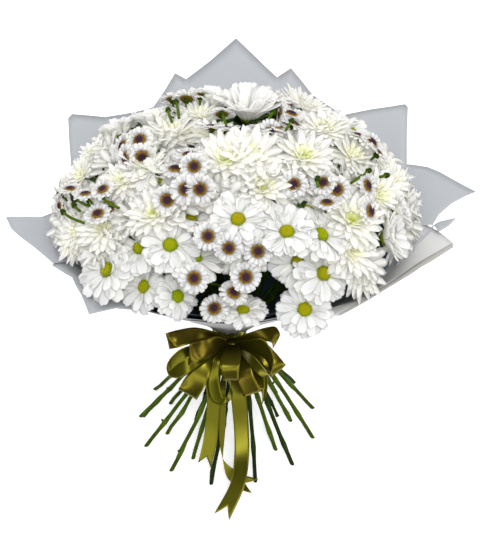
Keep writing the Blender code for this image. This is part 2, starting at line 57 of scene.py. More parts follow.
CENTRE_SHIFT = Vector((-0.006, -0.0332, 0.0))
SENSOR_MM = 36

# The light: the sky by the height of its direction, soft bands in it for gloss, and a soft sun from in front.
# The ramps are the lowest and highest value that goes in and what comes out.
SKY_RAMP = (-0.4, 0.7, 0.45, 1.06)
GLOSS_BANDS = 0.60
GLOSS_TURN = 2.6
GLOSS_RAMP = (0.50, 1.0, 0.12, 6.0)
SUN_FROM = Vector((0.12, -0.90, 0.85))
SUN_STRENGTH = 1.7
SUN_ANGLE = math.radians(25)
FLOOR_REACH = 6.0
FLOOR_GLOW = 0.34

# The dome that the blooms lie on
DOME_MIDDLE = Vector((0.0, -0.008, 0.296))
DOME_WIDTH = 0.190
DOME_DEPTH = 0.158
DOME_HEIGHT = 0.129
DOME_LOWEST = 0.15
MOST_BLOOM_TILT = math.radians(66)
GOLDEN_TURN = math.radians(137.508)

# Each kind of bloom: how far out the stalks meet, its radius as it settles in the source, how far its eye is
# above the dome and above its petals' foot, and how near another may fill in, in pixels and in metres
Kind = namedtuple("Kind", "meeting_depth settled_radius rise eye_height clear_px clear")
KINDS = {
    "daisy": Kind(0.66, 0.0265, 0.001, 0.004, 17, 0.021),
    "double": Kind(0.60, 0.0230, -0.001, 0.006, 12, 0.019),
    "button": Kind(0.68, 0.0125, 0.011, 0.002, 6, 0.008),
}

# How the blooms settle in the source, and how far from there they may show
BLOOM_GAP = 0.0010
TOUCHING = (1.42, 1.52)
CLEAR_OF_OWN = 1.60
SETTLING_STEPS = 200
MOST_MOVE = 0.056
RISE_JITTER = 0.002
SUNK_BELOW_PX = 264
SUNK = 0.010

# The tie and the stems. A ring is a number of stems, its radius at the tie, and the spread below and above.
TIE_X, TIE_Z = -0.009, 0.150
STEM_RADIUS = 0.00252
STEM_BEND_Z = 0.222
STEM_MEETING_Z = 0.200
STEM_RINGS = ((13, 0.0133, 0.708, 0.88), (9, 0.0081, 0.51, 0.48), (3, 0.0030, 0.26, 0.16))
STEM_LEAD = math.radians(78)
FOOT_SHIFT = Vector((-0.003, 0.0, 0.0))
TIE_STEP, FREE_STEPS, UPPER_STEPS = 14, 11, 8
STEM_WANDER = 0.0022
STEM_ZIGZAG = 0.0009
KNEE_EVERY = 4
KNEE_SWELL = 1.26
KNEE_LIGHT = 1.5
STUB_RADII = (0.0017, 0.0015, 0.0011)
STUB_MIDDLE = 0.0035
STUB_LENGTHS = (0.0045, 0.0075)
SHOOTS_FROM = 0.085
SHOOTS_SHARE = 0.6
SHOOT_LENGTHS = (0.040, 0.070)
SHOOT_SPREADS = (0.10, 0.20)
SHOOT_CLEARANCE = 0.006
STALK_START = 0.003
STALK_STEP = 0.005
STALK_RADIUS = 0.0012
SEEN_STALK_RISE = 0.015
SEEN_STALK_RADIUS = 0.0015
STALK_LIGHT = 1.25
SEEN_STALK_LIGHT = 1.3
# How far stems and stalks keep their first direction and their last, and where the last one points from
STEM_LEAVES, STEM_ARRIVES = 0.03, 0.02
STALK_LEAVES, STALK_ARRIVES = 0.020, 0.022
STEM_AIM = Vector((0, 0, STEM_MEETING_Z - 0.05))
CUP_HEIGHT = 0.005
CUP_RADII = {"daisy": 0.0058, "double": 0.0058, "button": 0.0034}
SEEN_CUP_RADIUS = 0.0027
# A cup's outline, as shares of its radius and heights
CUP_PROFILE = ((0.25, -0.0062), (0.45, -0.0050), (0.85, -0.0034), (1.0, -0.0014), (0.95, 0.0002))
# Its scales: how many, their start as a share of its radius, their height, their length and width as shares
# of its radius, and their lean, bend and cup
CUP_SCALES = (11, 0.42, -0.0052, 1.15, 0.62, 52, 6, -0.2)
LEAF_BELOW_MEETING = 0.022
LEAF_THICKNESS = 0.0005
LEAF_LEAN, LEAF_BEND, LEAF_JITTER = 52, -62, 5
LEAF_LOBES = 3.2
LOBE_DEPTH = 0.42
LEAF_STALK, LEAF_CUP, LEAF_RIPPLE = 0.07, 0.35, 0.10
STEM_LEAF = (0.034, 0.018)

# What fills the head below the blooms: plain blooms, which leave the photo's dark gaps open, and leaves
FILLERS = 220
FILLER_RISE = -0.008
FILLER_LOWEST = 0.16
LEAVES = 120
LEAVES_RISE = -0.021
LEAVES_LOWEST = 0.3
FILLER_LEAF = (0.040, 0.026)
CLEARING = ((203, 262), (288, 345))
GAPS = (
    (222, 265), (262, 284), (280, 302), (122, 198), (159, 266), (373, 243), (282, 262), (276, 287),
    (250, 270), (233, 132), (215, 175),
)
GAP_PX = 17

# Blooms that the photo shows: the pixel of the eye, the way that it faces there (right, up, nearer), how many
# millimetres it is raised above its neighbours, and its size against its kind
Bloom = namedtuple("Bloom", "x y right up nearer raised size", defaults=(0, 0, 1, 0, 1.0))
SEEN_SPRAYS = {
    "daisy_spray_middle": (
        (238, 218, 0.05, 0.35, 0.93, 9), (193, 215, 0.1, 0.85, 0.45, -14), (166, 180, 0.2, 0.3, 0.93, -10),
        (170, 244, 0.0, 0.3, 0.95), (139, 246, -0.3, 0.4, 0.86, -4), (195, 256, 0.1, 0.75, 0.65, -8),
    ),
    "daisy_spray_low_left": (
        (105, 269, -0.6, 0.2, 0.77, 12, 1.14), (142, 286, -0.55, 0.2, 0.8, 0, 0.86),
        (179, 296, 0.5, 0.1, 0.86, 0, 0.82),
    ),
    "daisy_spray_front": ((243, 308, 0.0, 0.75, 0.65, -3, 0.80),),
    "daisy_spray_right": (
        (305, 309, 0.05, 0.2, 0.98, 12, 0.92), (325, 273, 0.4, 0.1, 0.9, 10), (299, 262, 0.2, -0.4, 0.9, -12),
        (287, 230, 0.0, 0.5, 0.87, 8), (323, 233, 0.45, 0.45, 0.77, 6), (308, 209, 0.2, 0.6, 0.77, -6),
    ),
    "daisy_spray_far_right": ((408, 208), (401, 233)),
    "double_spray_top_left": (
        (173, 133, -0.05, 0.85, 0.5, 0, 0.95), (201, 113, 0.1, 0.85, 0.5, 0, 0.66),
        (214, 133, 0.1, 0.8, 0.6, 0, 0.75),
    ),
    "double_spray_top": (
        (227, 160, -0.1, 0.45, 0.88), (249, 156, 0.1, 0.45, 0.88), (263, 187, 0.05, 0.5, 0.86, -4, 0.92),
    ),
    "double_spray_top_right": (
        (304, 156, 0.15, 0.65, 0.75), (324, 128, 0.1, 0.75, 0.65, 0, 0.85),
        (353, 155, 0.3, 0.6, 0.7, 0, 0.85),
    ),
    "double_spray_right": (
        (388, 168, 0.6, 0.4, 0.7, 0, 0.66), (379, 195, 0.5, 0.2, 0.8, 0, 0.85),
        (395, 183, 0.75, 0.2, 0.6, 0, 0.66),
    ),
    "double_spray_low_right": (
        (352, 220, 0.3, 0.5, 0.8), (350, 250, 0.5, 0.3, 0.8), (361, 269, 0.7, 0.1, 0.7),
    ),
    "double_spray_upper_left": (
        (95, 151, -0.3, 0.7, 0.6, 0, 0.62), (80, 174, -0.6, 0.4, 0.7, 0, 0.64),
        (122, 180, -0.3, 0.6, 0.75, 0, 0.76), (145, 165, 0.1, 0.7, 0.7, 0, 0.90),
        (154, 214, -0.25, 0.55, 0.8, 0, 0.90),
    ),
    "double_spray_left": (
        (77, 231, -0.7, 0.1, 0.7, 0, 0.76), (70, 244, -0.75, -0.2, 0.6, 0, 0.70),
        (103, 228, -0.3, 0.45, 0.85, 0, 0.85),
    ),
    "button_spray_upper_left": (
        (139, 139, -0.25, 0.35, 0.9, 6), (121, 146, -0.75, 0.2, 0.6, 4), (124, 158, -0.8, 0.0, 0.6, 6),
        (142, 157, 0.2, -0.6, 0.7),
    ),
    "button_spray_top": (
        (211, 125, 0.0, 0.95, 0.2, 6), (222, 112, 0.0, 0.9, -0.3), (226, 127, 0.0, 0.95, 0.25),
    ),
    "button_spray_back": (
        (173, 97, 0.0, 0.95, -0.2, 6), (187, 97, 0.1, 0.9, -0.4, 6), (200, 93, 0.0, 0.95, -0.2, 6),
    ),
    "button_spray_middle": (
        (189, 153, 0.0, 0.85, 0.5, 5), (194, 166, 0.0, 0.1, 1.0, 7), (175, 167, 0.0, 0.8, 0.55),
        (185, 189, -0.1, 0.1, 1.0, 6), (200, 189, 0.0, 0.0, 1.0, 6), (167, 200, 0.1, 0.0, 1.0),
    ),
    "button_spray_left": (
        (70, 187, 0.0, 0.85, 0.5, 8, 0.88), (85, 192, -0.1, 0.85, 0.45, 10, 0.85),
        (102, 188, -0.3, 0.6, 0.7, 10, 0.88), (72, 199, -0.6, -0.2, 0.6, 0, 0.70),
        (58, 206, -0.7, -0.1, 0.5, 0, 0.70), (58, 191, -0.6, 0.7, 0.3, 4, 0.70),
        (98, 213, -0.2, 0.6, 0.8, 8, 0.95), (109, 206, 0.2, 0.4, 0.9, -6),
    ),
    "button_spray_low": (
        (208, 236, 0.0, 0.1, 1.0, 7), (229, 248, 0.1, 0.0, 1.0, 9), (258, 251, 0.1, 0.1, 1.0),
        (246, 277, 0.1, 0.0, 1.0, 11), (234, 292, 0.3, 0.5, 0.8, 3), (214, 308, -0.2, 0.3, 0.9),
        (194, 278, 0.0, 0.1, 1.0, 21),
    ),
    "button_spray_right": (
        (294, 184, 0.0, 0.1, 1.0), (323, 182, -0.2, 0.3, 0.9), (337, 189, 0.1, 0.1, 1.0),
        (327, 201, 0.0, 0.8, 0.55),
    ),
    "button_spray_top_right": (
        (272, 131, 0.4, 0.2, 0.85), (259, 127, 0.0, 0.9, 0.4), (278, 125, 0.3, 0.85, 0.4),
        (279, 113, -0.95, 0.2, 0.2), (295, 122, 0.5, 0.8, 0.3), (292, 112, 0.3, 0.8, 0.5),
        (277, 103, 0.0, 0.9, -0.3), (286, 103, 0.1, 0.9, -0.3),
    ),
    "button_spray_far_right": (
        (355, 131, 0.3, 0.9, 0.3, 6), (373, 141, 0.5, 0.5, 0.6, 6), (380, 152, 0.7, 0.6, 0.2, 6),
        (369, 185, 0.7, 0.2, 0.65), (372, 215, 0.75, 0.1, 0.65, 10),
    ),
}

# Blooms that the photo shows from behind or hides, as their places in plan, in metres
HIDDEN_SPRAYS = {
    "daisy_spray_back": ((0.000, 0.060), (-0.035, 0.085), (0.010, 0.105), (-0.030, 0.128)),
    "daisy_spray_back_left": ((-0.075, 0.045), (-0.110, 0.065), (-0.075, 0.095), (-0.135, 0.035)),
    "daisy_spray_back_right": ((0.118, 0.055), (0.145, 0.055), (0.105, 0.090), (0.135, 0.020)),
    "double_spray_back": ((0.055, 0.055), (0.060, 0.095), (0.030, 0.130), (0.085, 0.070)),
}

# Blooms of those and of the far right spray as they show above the others. Daisies there are cupped.
SEEN_AT_BACK = {
    ("daisy_spray_back", 0): Bloom(254, 123, 0.05, 0.82, 0.54, size=1.30),
    ("daisy_spray_back", 1): Bloom(214, 110, 0.05, 0.90, 0.30),
    ("daisy_spray_back_left", 0): Bloom(152, 124, -0.10, 0.90, 0.15),
    ("daisy_spray_back_left", 3): Bloom(122, 131, -0.30, 0.85, 0.15),
    ("double_spray_back", 0): Bloom(311, 106, 0.20, 0.80, 0.30, size=0.64),
    ("daisy_spray_back_right", 0): Bloom(338, 129, 0.25, 0.90, 0.20, size=0.85),
    ("daisy_spray_far_right", 0): Bloom(397, 210, 0.90, 0.35, 0.20, size=0.80),
    ("daisy_spray_far_right", 1): Bloom(388, 238, 0.86, 0.15, 0.36),
}
# Doubles whose heart shows green
GREEN_HEARTS = {
    "double_spray_top": (0, 1),
    "double_spray_top_right": (0,),
    "double_spray_upper_left": (4,),
    "double_spray_low_right": (0, 2),
}
# Blooms this far back have a warmer white
BACK_FROM = 0.095
BACK_SHADE = (1.0, 0.972, 0.955)

# Stalks that the photo shows between the blooms of a spray: three pixels from the cup down
SEEN_STALKS = {
    "button_spray_left": (
        ((75, 198), (82, 203), (90, 207)), ((86, 196), (90, 201), (94, 206)),
        ((101, 195), (107, 203), (119, 208)), ((62, 211), (70, 218), (84, 223)),
        ((73, 204), (76, 208), (80, 211)),
    ),
    "button_spray_back": (((176, 101), (178, 109), (179, 118)), ((168, 109), (169, 115), (172, 122))),
    "button_spray_top": (((222, 113), (224, 119), (226, 125)),),
    "button_spray_top_right": (((292, 120), (289, 125), (286, 130)), ((274, 111), (271, 115), (268, 120))),
    "button_spray_far_right": (((370, 170), (361, 176), (351, 183)), ((388, 175), (384, 176), (380, 177))),
    "button_spray_right": (((318, 177), (317, 181), (318, 187)),),
}

# Petal outlines: how far along each row of points lies, the share of the full width there, how many points go
# across, and how deep the tip is notched
Outline = namedtuple("Outline", "along share columns notch")
ROUND_PETAL = Outline(
    (0, 0.14, 0.34, 0.55, 0.73, 0.87, 0.96, 1.0), (0.36, 0.56, 0.82, 0.97, 1.0, 0.88, 0.62, 0.30), 7, 0.0011
)
POINTED_PETAL = Outline(
    (0, 0.2, 0.42, 0.62, 0.79, 0.92, 1.0), (0.45, 0.78, 1.0, 0.97, 0.74, 0.40, 0.04), 5, 0.0
)
FILLER_PETAL = Outline((0, 0.3, 0.62, 0.87, 1.0), (0.5, 0.9, 1.0, 0.75, 0.25), 3, 0.0)
SHORT_PETAL = Outline((0, 0.4, 0.74, 0.93, 1.0), (0.50, 0.86, 1.0, 0.78, 0.40), 5, 0.0005)

# One row of petals: how many, where they start, how long and wide, their lean and bend in degrees, their cup,
# and their tints at the base and the tip
Row = namedtuple("Row", "outline count start height length width lean bend cup base tip")
WHITE = (0.93, 0.925, 0.885)
CREAM = (0.93, 0.92, 0.83)
BASE_WHITE = (0.90, 0.915, 0.80)
BASE_CREAM = (0.93, 0.93, 0.56)
HEART = (0.76, 0.83, 0.18)
PALE_HEART = (0.90, 0.91, 0.56)
BLOOM_ROWS = {
    "daisy": (
        Row(ROUND_PETAL, 14, 0.0056, 0.0000, 0.0255, 0.0124, 8, -22, 0.16, BASE_WHITE, WHITE),
        Row(ROUND_PETAL, 13, 0.0056, 0.0006, 0.0238, 0.0118, 20, -28, 0.20, BASE_WHITE, WHITE),
        Row(ROUND_PETAL, 6, 0.0062, 0.0010, 0.0165, 0.0090, 34, -36, 0.26, BASE_WHITE, WHITE),
    ),
    "double": (
        Row(POINTED_PETAL, 16, 0.0040, 0.0000, 0.0310, 0.0112, 6, -14, 0.10, CREAM, CREAM),
        Row(POINTED_PETAL, 16, 0.0038, 0.0008, 0.0330, 0.0106, 20, -10, 0.12, CREAM, CREAM),
        Row(POINTED_PETAL, 15, 0.0034, 0.0016, 0.0320, 0.0100, 34, -8, 0.14, BASE_CREAM, CREAM),
        Row(POINTED_PETAL, 12, 0.0030, 0.0022, 0.0265, 0.0090, 46, -4, 0.16, BASE_CREAM, CREAM),
        Row(POINTED_PETAL, 9, 0.0026, 0.0026, 0.0165, 0.0070, 56, 2, 0.20, HEART, BASE_CREAM),
        Row(POINTED_PETAL, 7, 0.0020, 0.0030, 0.0095, 0.0048, 66, 8, 0.26, HEART, HEART),
    ),
    "filler": (
        Row(FILLER_PETAL, 12, 0.0040, 0.0000, 0.0270, 0.0120, 10, -10, 0.15, BASE_WHITE, CREAM),
        Row(FILLER_PETAL, 11, 0.0030, 0.0020, 0.0240, 0.0110, 34, -10, 0.20, BASE_WHITE, CREAM),
    ),
    "button": (
        Row(SHORT_PETAL, 16, 0.0056, -0.0002, 0.0095, 0.0052, 6, -12, 0.14, WHITE, WHITE),
        Row(SHORT_PETAL, 15, 0.0058, 0.0002, 0.0080, 0.0048, 20, -22, 0.16, WHITE, WHITE),
    ),
}
PETAL_THICKNESS = 0.0004
PETAL_GROOVE = 0.00035
PETAL_JITTER = 6.0
CUPPED_BY = 46
# How much petals and blooms differ: shares of a petal's place, length, width, cup and tint, how far a ring
# hangs in degrees, and the size and facing of whole blooms
PETAL_SPACING = 0.16
PETAL_LENGTHS = (0.90, 1.05)
PETAL_WIDTHS = (0.88, 1.10)
PETAL_CUPS = (0.5, 1.4)
PETAL_SHADES = (0.955, 1.0)
DROOPS = (-4, 9)
BLOOM_SIZES = (0.95, 1.05)
FILLER_SIZES = (0.85, 1.05)
HIDDEN_WANDER = 0.12
FILLER_WANDER = 0.2

# Eyes: radius, height, number of florets, and how far out the outer of the two colours starts
EYES = {
    "daisy": (0.0077, 0.0048, 80, 0.86),
    "double": (0.0036, 0.0075, 26, 0.80),
    "button": (0.0063, 0.0024, 90, 0.76),
}
GREEN_EYE = ((0.34, 0.42, 0.002), (0.14, 0.26, 0.004))
GOLDEN_EYE = ((0.42, 0.36, 0.002), (0.20, 0.25, 0.004))
HEART_EYE = ((0.50, 0.60, 0.03), (0.70, 0.76, 0.16))
PALE_HEART_EYE = ((0.74, 0.78, 0.26), (0.86, 0.87, 0.46))
BUTTON_EYE = ((0.050, 0.022, 0.042), (0.36, 0.20, 0.008))
# An eye's dome as shares of its radius and height, and the sides and rings of a floret: each ring as a share
# of its size, how high it is, and how light
EYE_PROFILE = ((1.0, 0.15), (0.8, 0.62), (0.45, 0.92))
EYE_FOOT = -0.0012
# The dome, seen between the florets, is painted darker: painted shade
EYE_DOME_PAINTED_SHADE = (0.45, 0.6, 0.6, 0.6)
EYE_FALL, EYE_FALL_POWER = 0.85, 2.4
EYE_EDGE_SHARPNESS = 12
# At the eye's edge every third floret is painted dark, as painted shade between the petals' bases, and the
# others a quarter lighter
EYE_EDGE_PAINTED_SHADE_DOTS = (0.25, -0.65)
# The power by which a daisy's eye keeps its size on a larger or smaller bloom
EYE_KEEPS_SIZE = 0.8
FLORET_SIZE = 0.92
FLORET_SIDES = 5
# The floret rings are painted darker at the foot, as painted shade between the florets, and lighter at the
# tip, as a painted highlight
FLORET_RINGS = ((1.0, -0.5, 0.55), (0.78, 0.45, 1.0), (0.0, 0.85, 1.15))

STEM_LIGHT, STEM_DARK = np.array((0.064, 0.112, 0.004)), np.array((0.009, 0.020, 0.002))
LEAF_GREEN = np.array((0.022, 0.055, 0.012))
CUT_END = (0.42, 0.50, 0.22)

# The wrap: how high it is at each distance from the axis, and beyond the last of them how much it rises
WRAP_PROFILE = ((0.0195, 0.1600), (0.048, 0.190), (0.100, 0.230), (0.188, 0.285))
WRAP_FRONT_SHARE = 0.82
WRAP_BACK_SHARE = 0.86
WRAP_FLARE_FRONT = 0.10
WRAP_FLARE_BACK = 1.15
WRAP_PITCH = 0.0023
WRAP_LIP = 0.011
# Waves of the wrap: how high, how many round the bunch, from where, and the power by which they grow outwards
WRAP_WAVES = ((0.0024, 5, 0.9, 2), (0.0012, 11, 2.1, 1))
WRAP_PLEATS = 22
PLEAT_HEIGHT = 0.0011
PLEATS_TO = 0.10
WRAP_THICKNESS = 0.0005
WRAP_GREY = np.array((0.375, 0.390, 0.416))
LINER_RADIUS = 0.172
LINER_SLATE = (0.10, 0.155, 0.215)
SHEET_STEP = 0.004
SHEET_TURN = math.radians(3)
SHEET_ROWS = 24
# How far past the profile the hidden rim is, and an edge that turns further than this, at nearly one distance
# from the axis, is an arc
HIDDEN_RIM_REACH = 0.003
ARC_FROM = math.radians(25)
ARC_MOST_CHANGE = 0.02
FOLD_LIFT = 0.0012
# The paper is gathered, and is painted darker towards the tie: painted shade under the bunch and in its folds
FOOT_PAINTED_SHADE = 0.40
FOOT_SHARE = 0.75
# Sheets painted lighter than the rest of the paper, as painted light where they face the light; the low right
# one is also a little warmer
SHEET_PAINTED_LIGHT = {"wrap_sheet_low_right": (1.60, 1.54, 1.44), "wrap_sheet_right": (1.04, 1.04, 1.03)}

# Each wrap sheet: its layer, and its edge on the photo, as pixels, in order round the bunch. A single number
# is a place on the rim that the blooms hide, as its direction in plan in degrees.
WRAP_SHEETS = {
    "wrap_sheet_back": (1, (
        60, (313, 95), (302, 81), (291, 68), (277, 77), (257, 58), (236, 38), (211, 60), (186, 79), (175, 73),
        (153, 107), 120,
    )),
    "wrap_sheet_left": (2, (
        105, (153, 107), (105, 117), (72, 114), (68, 118), (69, 140), (71, 165), (57, 211), (41, 217),
        (6, 217), (11, 228), (33, 246), (53, 263),
    )),
    "wrap_sheet_right": (2, (
        (433, 224), (439, 214), (452, 203), (465, 196), (476, 191.5), (440, 172), (428, 167), (407, 164),
        (407, 135), (408, 107), (405, 104), (372, 109), (343, 115), (313, 95), 75,
    )),
    "wrap_sheet_low_left": (3, (
        -165, (52, 265), (72, 277), (76, 286), (81, 294), (89, 314), (102, 311), (116, 308), (138, 310),
        -120, -75,
    )),
    "wrap_sheet_low_right": (4, (
        -105, -72, (340, 315.5), (363, 303), (396, 283), (421, 267), (438, 257), (453, 247), (454, 244),
        (445, 236), (438, 231), 15,
    )),
}
# Folds that show on the sheets: the sheet, how bright against it, and stations that are a pixel on each edge
WRAP_FOLDS = (
    ("wrap_sheet_right", (1.0, 1.0, 0.98), (
        ((433.5, 225), (438, 232)), ((440, 221.5), (443.5, 229)), ((448, 219.5), (449.5, 225)),
        ((455, 218), (455.5, 219)),
    )),
    # A small curl at the flap's tip, painted much lighter than the paper: a painted highlight
    ("wrap_sheet_right", (1.6, 1.6, 1.55), (((431, 224.5), (432.5, 227)), ((432.5, 223.5), (434.5, 227.5)))),
    ("wrap_sheet_low_right", (1.05, 0.98, 0.86), (
        ((451, 244), (453, 247.5)), ((436, 253), (438, 257)), ((419, 263), (421, 267)),
        ((395, 280), (396, 283)), ((362, 301), (363, 303)), ((340, 314.5), (340.5, 315.5)),
    )),
    # Creases on the low right sheet, painted lighter than the paper: painted highlights along them
    ("wrap_sheet_low_right", (1.12, 1.12, 1.12), (
        ((432, 227), (433, 228)), ((413.5, 246), (414.5, 247)), ((395, 265), (396, 266)),
    )),
)

# The ribbon
RIBBON_THICKNESS = 0.0004
RIBBON_WIDTH = 0.020
RIBBON_COLUMNS = 9
RIBBON_OLIVE = np.array((0.104, 0.098, 0.007))
RIBBON_BROWN = (0.118, 0.088, 0.010)
BAND_RADIUS = 0.0192
BAND_HEIGHT = 0.018
KNOT = Vector((-0.009, -0.0276, 0.1500))
KNOT_RADII = (0.0052, 0.0066, 0.0074, 0.0078, 0.0080, 0.0078, 0.0074, 0.0066, 0.0052)
# The knot, and the strips near it, are painted darker: painted shade in and round the knot
KNOT_PAINTED_SHADE = 0.35
KNOT_REACH = 0.019
KNOT_HALF_WIDTH = 0.0085
KNOT_ASIDE, KNOT_FORWARD, KNOT_LOWER = 0.003, 0.003, 0.002
KNOT_BULGE, KNOT_BULGE_TURN = 0.0015, 160
BAND_WAVES = (0.0004, 0.0003)
PLEAT_REACH = 0.014
STRIP_PLEATS = 0.0014
STRIP_CROWN = 0.0005
LOOP_LEAN = 0.009
LOOP_FOLD = 0.10
LOOP_BACK_MOST = 0.002
TAIL_START = Vector((0, -0.006, -0.004))
TAIL_ROWS = 48
TAIL_POINTS = 200
TAIL_NOTCH = 0.07
TAIL_CLEARANCE = 0.005
THIRD_TAIL_CLEARANCE = 0.002
# The tails are painted darker than the bow, as painted shade, and lighter from part way down to their ends,
# as painted light
TAIL_PAINTED_SHADE = 0.64
TAIL_END_PAINTED_LIGHT = 1.45
TAIL_END_FROM, TAIL_END_FADE = 0.66, 0.15
TAIL_SLOPE = 0.40

# The ribbon's loops: strips from the knot to the fold, as stations that are a pixel on each edge and a depth.
# The number first is how far behind it the strip comes back.
BOW_LOOPS = (
    (0.014, ((229, 338, 229, 343, -0.032), (212, 331, 212, 341, -0.042), (195, 327.5, 197, 342, -0.052),
             (178, 330, 180, 347, -0.058), (167, 333, 170.5, 349, -0.060))),
    (0.014, ((228, 340, 227, 350, -0.034), (217, 336.5, 214, 356, -0.055), (202, 339, 202, 359.5, -0.068),
             (191, 343.5, 190, 364.5, -0.078))),
    (0.016, ((222, 346, 226, 350, -0.034), (205, 355, 214, 361, -0.056), (194, 368, 210, 374, -0.068),
             (185, 378, 204, 388, -0.074), (179, 388, 197.5, 398.5, -0.076))),
    (0.016, ((227, 344, 239, 343, -0.034), (222, 353, 241, 352, -0.068), (220.3, 363, 240, 363, -0.084),
             (220.5, 372, 239, 372, -0.090), (223, 380, 239, 379.5, -0.088))),
    (0.010, ((235, 338, 238, 343, -0.032), (254, 331, 254, 340, -0.042), (268, 327, 266, 341, -0.050),
             (276, 327, 272, 343, -0.054), (280, 334, 273, 348, -0.056))),
    (0.014, ((240, 342, 237, 350, -0.034), (262, 341, 252, 355, -0.046), (276, 353, 263, 366, -0.056),
             (285, 364, 270, 376.5, -0.062))),
    (0.014, ((236, 350, 245, 348, -0.034), (237, 366, 250, 362, -0.062), (236.5, 380, 254, 376, -0.074),
             (243, 395.5, 260.5, 389.5, -0.080))),
    (0.010, ((240, 350, 246, 348, -0.034), (250, 368, 262, 366, -0.052), (257, 388, 265, 386, -0.060))),
)
# Strips that the photo shows whole: open loops at both sides, out along the back and home along the front,
# one below the knot, and a cut end that hangs from the knot's right
BOW_STRIPS = (
    ((226, 340, 228, 346, -0.034), (203, 344, 206, 358, -0.050), (185, 347, 188, 362, -0.058),
     (174, 354, 177, 369, -0.062), (167, 364, 170, 374, -0.066), (168, 371, 170, 377, -0.072),
     (178, 363, 180, 378, -0.076), (190, 356, 192, 372, -0.074), (204, 349, 207, 362, -0.060),
     (224, 342, 226, 350, -0.038)),
    ((234, 340, 236, 347, -0.032), (248, 339.5, 250, 354, -0.044), (262, 338.5, 262, 357, -0.054),
     (270, 348, 268, 366, -0.060), (273.5, 361, 270, 374, -0.066), (270, 374, 264, 377, -0.072),
     (261, 364, 256, 373, -0.076), (251, 353, 248, 364, -0.066), (240, 345, 240, 353, -0.042)),
    ((226, 344, 230, 348, -0.036), (214, 358, 222, 360, -0.056), (208.5, 376, 219, 376, -0.066),
     (208, 390, 220, 387, -0.070), (213, 402, 223, 397, -0.074), (224, 404, 227, 396, -0.076),
     (232, 397, 230, 386, -0.070), (231, 384, 226, 376, -0.060), (230, 366, 226, 362, -0.048)),
    ((256, 368, 264, 367, -0.050), (260.5, 377, 267.5, 377, -0.054), (262, 391, 267, 392, -0.054),
     (262, 404, 262.5, 404, -0.052)),
)

# Both edges of each ribbon tail on the photo, from the knot down
RIBBON_TAILS = {
    "ribbon_tail_third": (
        ((219, 388), (219, 403), (218.5, 425), (219.5, 442), (222.3, 457), (227, 464), (233, 468.5),
         (240, 472), (247, 476), (259, 479)),
        ((226, 388), (226, 403), (225.7, 425), (224.5, 440), (223, 457), (224, 467), (226.5, 476),
         (231, 482), (243.5, 490.5), (252, 493)),
    ),
    "ribbon_tail_long": (
        ((229, 375), (231, 398), (234, 431), (234, 459), (230, 484), (214, 514)),
        ((245, 375), (247, 398), (249, 431), (249, 459), (244, 488), (229, 521)),
    ),
    "ribbon_tail_short": (
        ((207, 375), (207, 398), (206, 419), (203, 442), (198, 463)),
        ((221, 375), (220, 398), (219, 419), (217, 442), (211, 468)),
    ),
}

# The materials: roughness and specular level, a noise (scale, detail, stretch, coordinates), how dark and how
# light it makes the tint, its bump (strength, distance), and the shader's other sockets. Petals let more
# light through than the renderer follows, and a faint glow stands for it.
Finish = namedtuple(
    "Finish", "roughness specular scale detail stretch grid low high bump depth more", defaults=({},)
)
EVEN = (1.0, 1.0, 1.0)
PETAL = Finish(0.6, 0.1, 4.0, 2.0, (2.2, 0.35, 1.0), "UV", 0.94, 1.03, 0.35, 0.0006, {
    "Emission Color": (1.0, 0.985, 0.95, 1),
    "Subsurface Weight": 0.8,
    "Subsurface Radius": (1.0, 0.97, 0.85),
    "Subsurface Scale": 0.004,
})
FINISHES = {
    "petal_white": PETAL._replace(more={**PETAL.more, "Emission Strength": 0.06}),
    "petal_cream": PETAL._replace(more={**PETAL.more, "Emission Strength": 0.10}),
    "eye": Finish(0.6, 0.08, 900.0, 2.0, EVEN, "Object", 0.8, 1.2, 0.5, 0.0004),
    "green": Finish(0.55, 0.05, 160.0, 4.0, (1.0, 1.0, 0.25), "Object", 0.25, 1.5, 0.4, 0.0005),
    "wrap": Finish(0.5, 0.15, 420.0, 5.0, EVEN, "Object", 0.97, 1.03, 0.12, 0.0003),
    "liner": Finish(0.5, 0.1, 40.0, 4.0, EVEN, "Object", 0.6, 1.3, 0.5, 0.003),
    "satin": Finish(0.30, 0.4, 1.0, 2.0, (220.0, 2.0, 1.0), "UV", 0.88, 1.1, 0.15, 0.0002, {
        "Metallic": 0.70,
        "Specular Tint": (0.45, 0.42, 0.14, 1),
    }),
}


def seeded(name):
    return np.random.RandomState(zlib.crc32(name.encode()) & 0x7FFFFFFF)


def sight_line(pixel):
    """The direction in which the camera sees this pixel."""
    across = Vector((pixel[0] - VIEW_MIDDLE_PX[0], 0, 0))
    return (VIEW_FORWARD * VIEW_FOCAL_PX + across + VIEW_UPWARD * (VIEW_MIDDLE_PX[1] - pixel[1])).normalized()


def as_seen(bloom):
    """The way that a bloom faces, from how the photo shows it."""
    return (Vector((bloom.right, 0, 0)) + VIEW_UPWARD * bloom.up - VIEW_FORWARD * bloom.nearer).normalized()


def pixel_of(point):
    """Where the photo shows this point."""
    ray = point - VIEW_EYE
    scale = VIEW_FOCAL_PX / ray.dot(VIEW_FORWARD)
    return VIEW_MIDDLE_PX[0] + ray.x * scale, VIEW_MIDDLE_PX[1] - ray.dot(VIEW_UPWARD) * scale


def shrunk(vector):
    """The vector on the scale where the dome is a unit sphere."""
    return Vector((vector.x / DOME_WIDTH, vector.y / DOME_DEPTH, vector.z / DOME_HEIGHT))


def to_unit(point):
    return shrunk(point - DOME_MIDDLE)


def from_unit(unit):
    """The point of the dome in this direction of the unit sphere, kept above the dome's lowest row."""
    unit = unit.normalized()
    height = max(unit.z, DOME_LOWEST)
    across = Vector()
    if unit.z < 0.999:
        across = Vector((unit.x, unit.y, 0)).normalized() * math.sqrt(1 - height**2)
    return DOME_MIDDLE + Vector((across.x * DOME_WIDTH, across.y * DOME_DEPTH, height * DOME_HEIGHT))


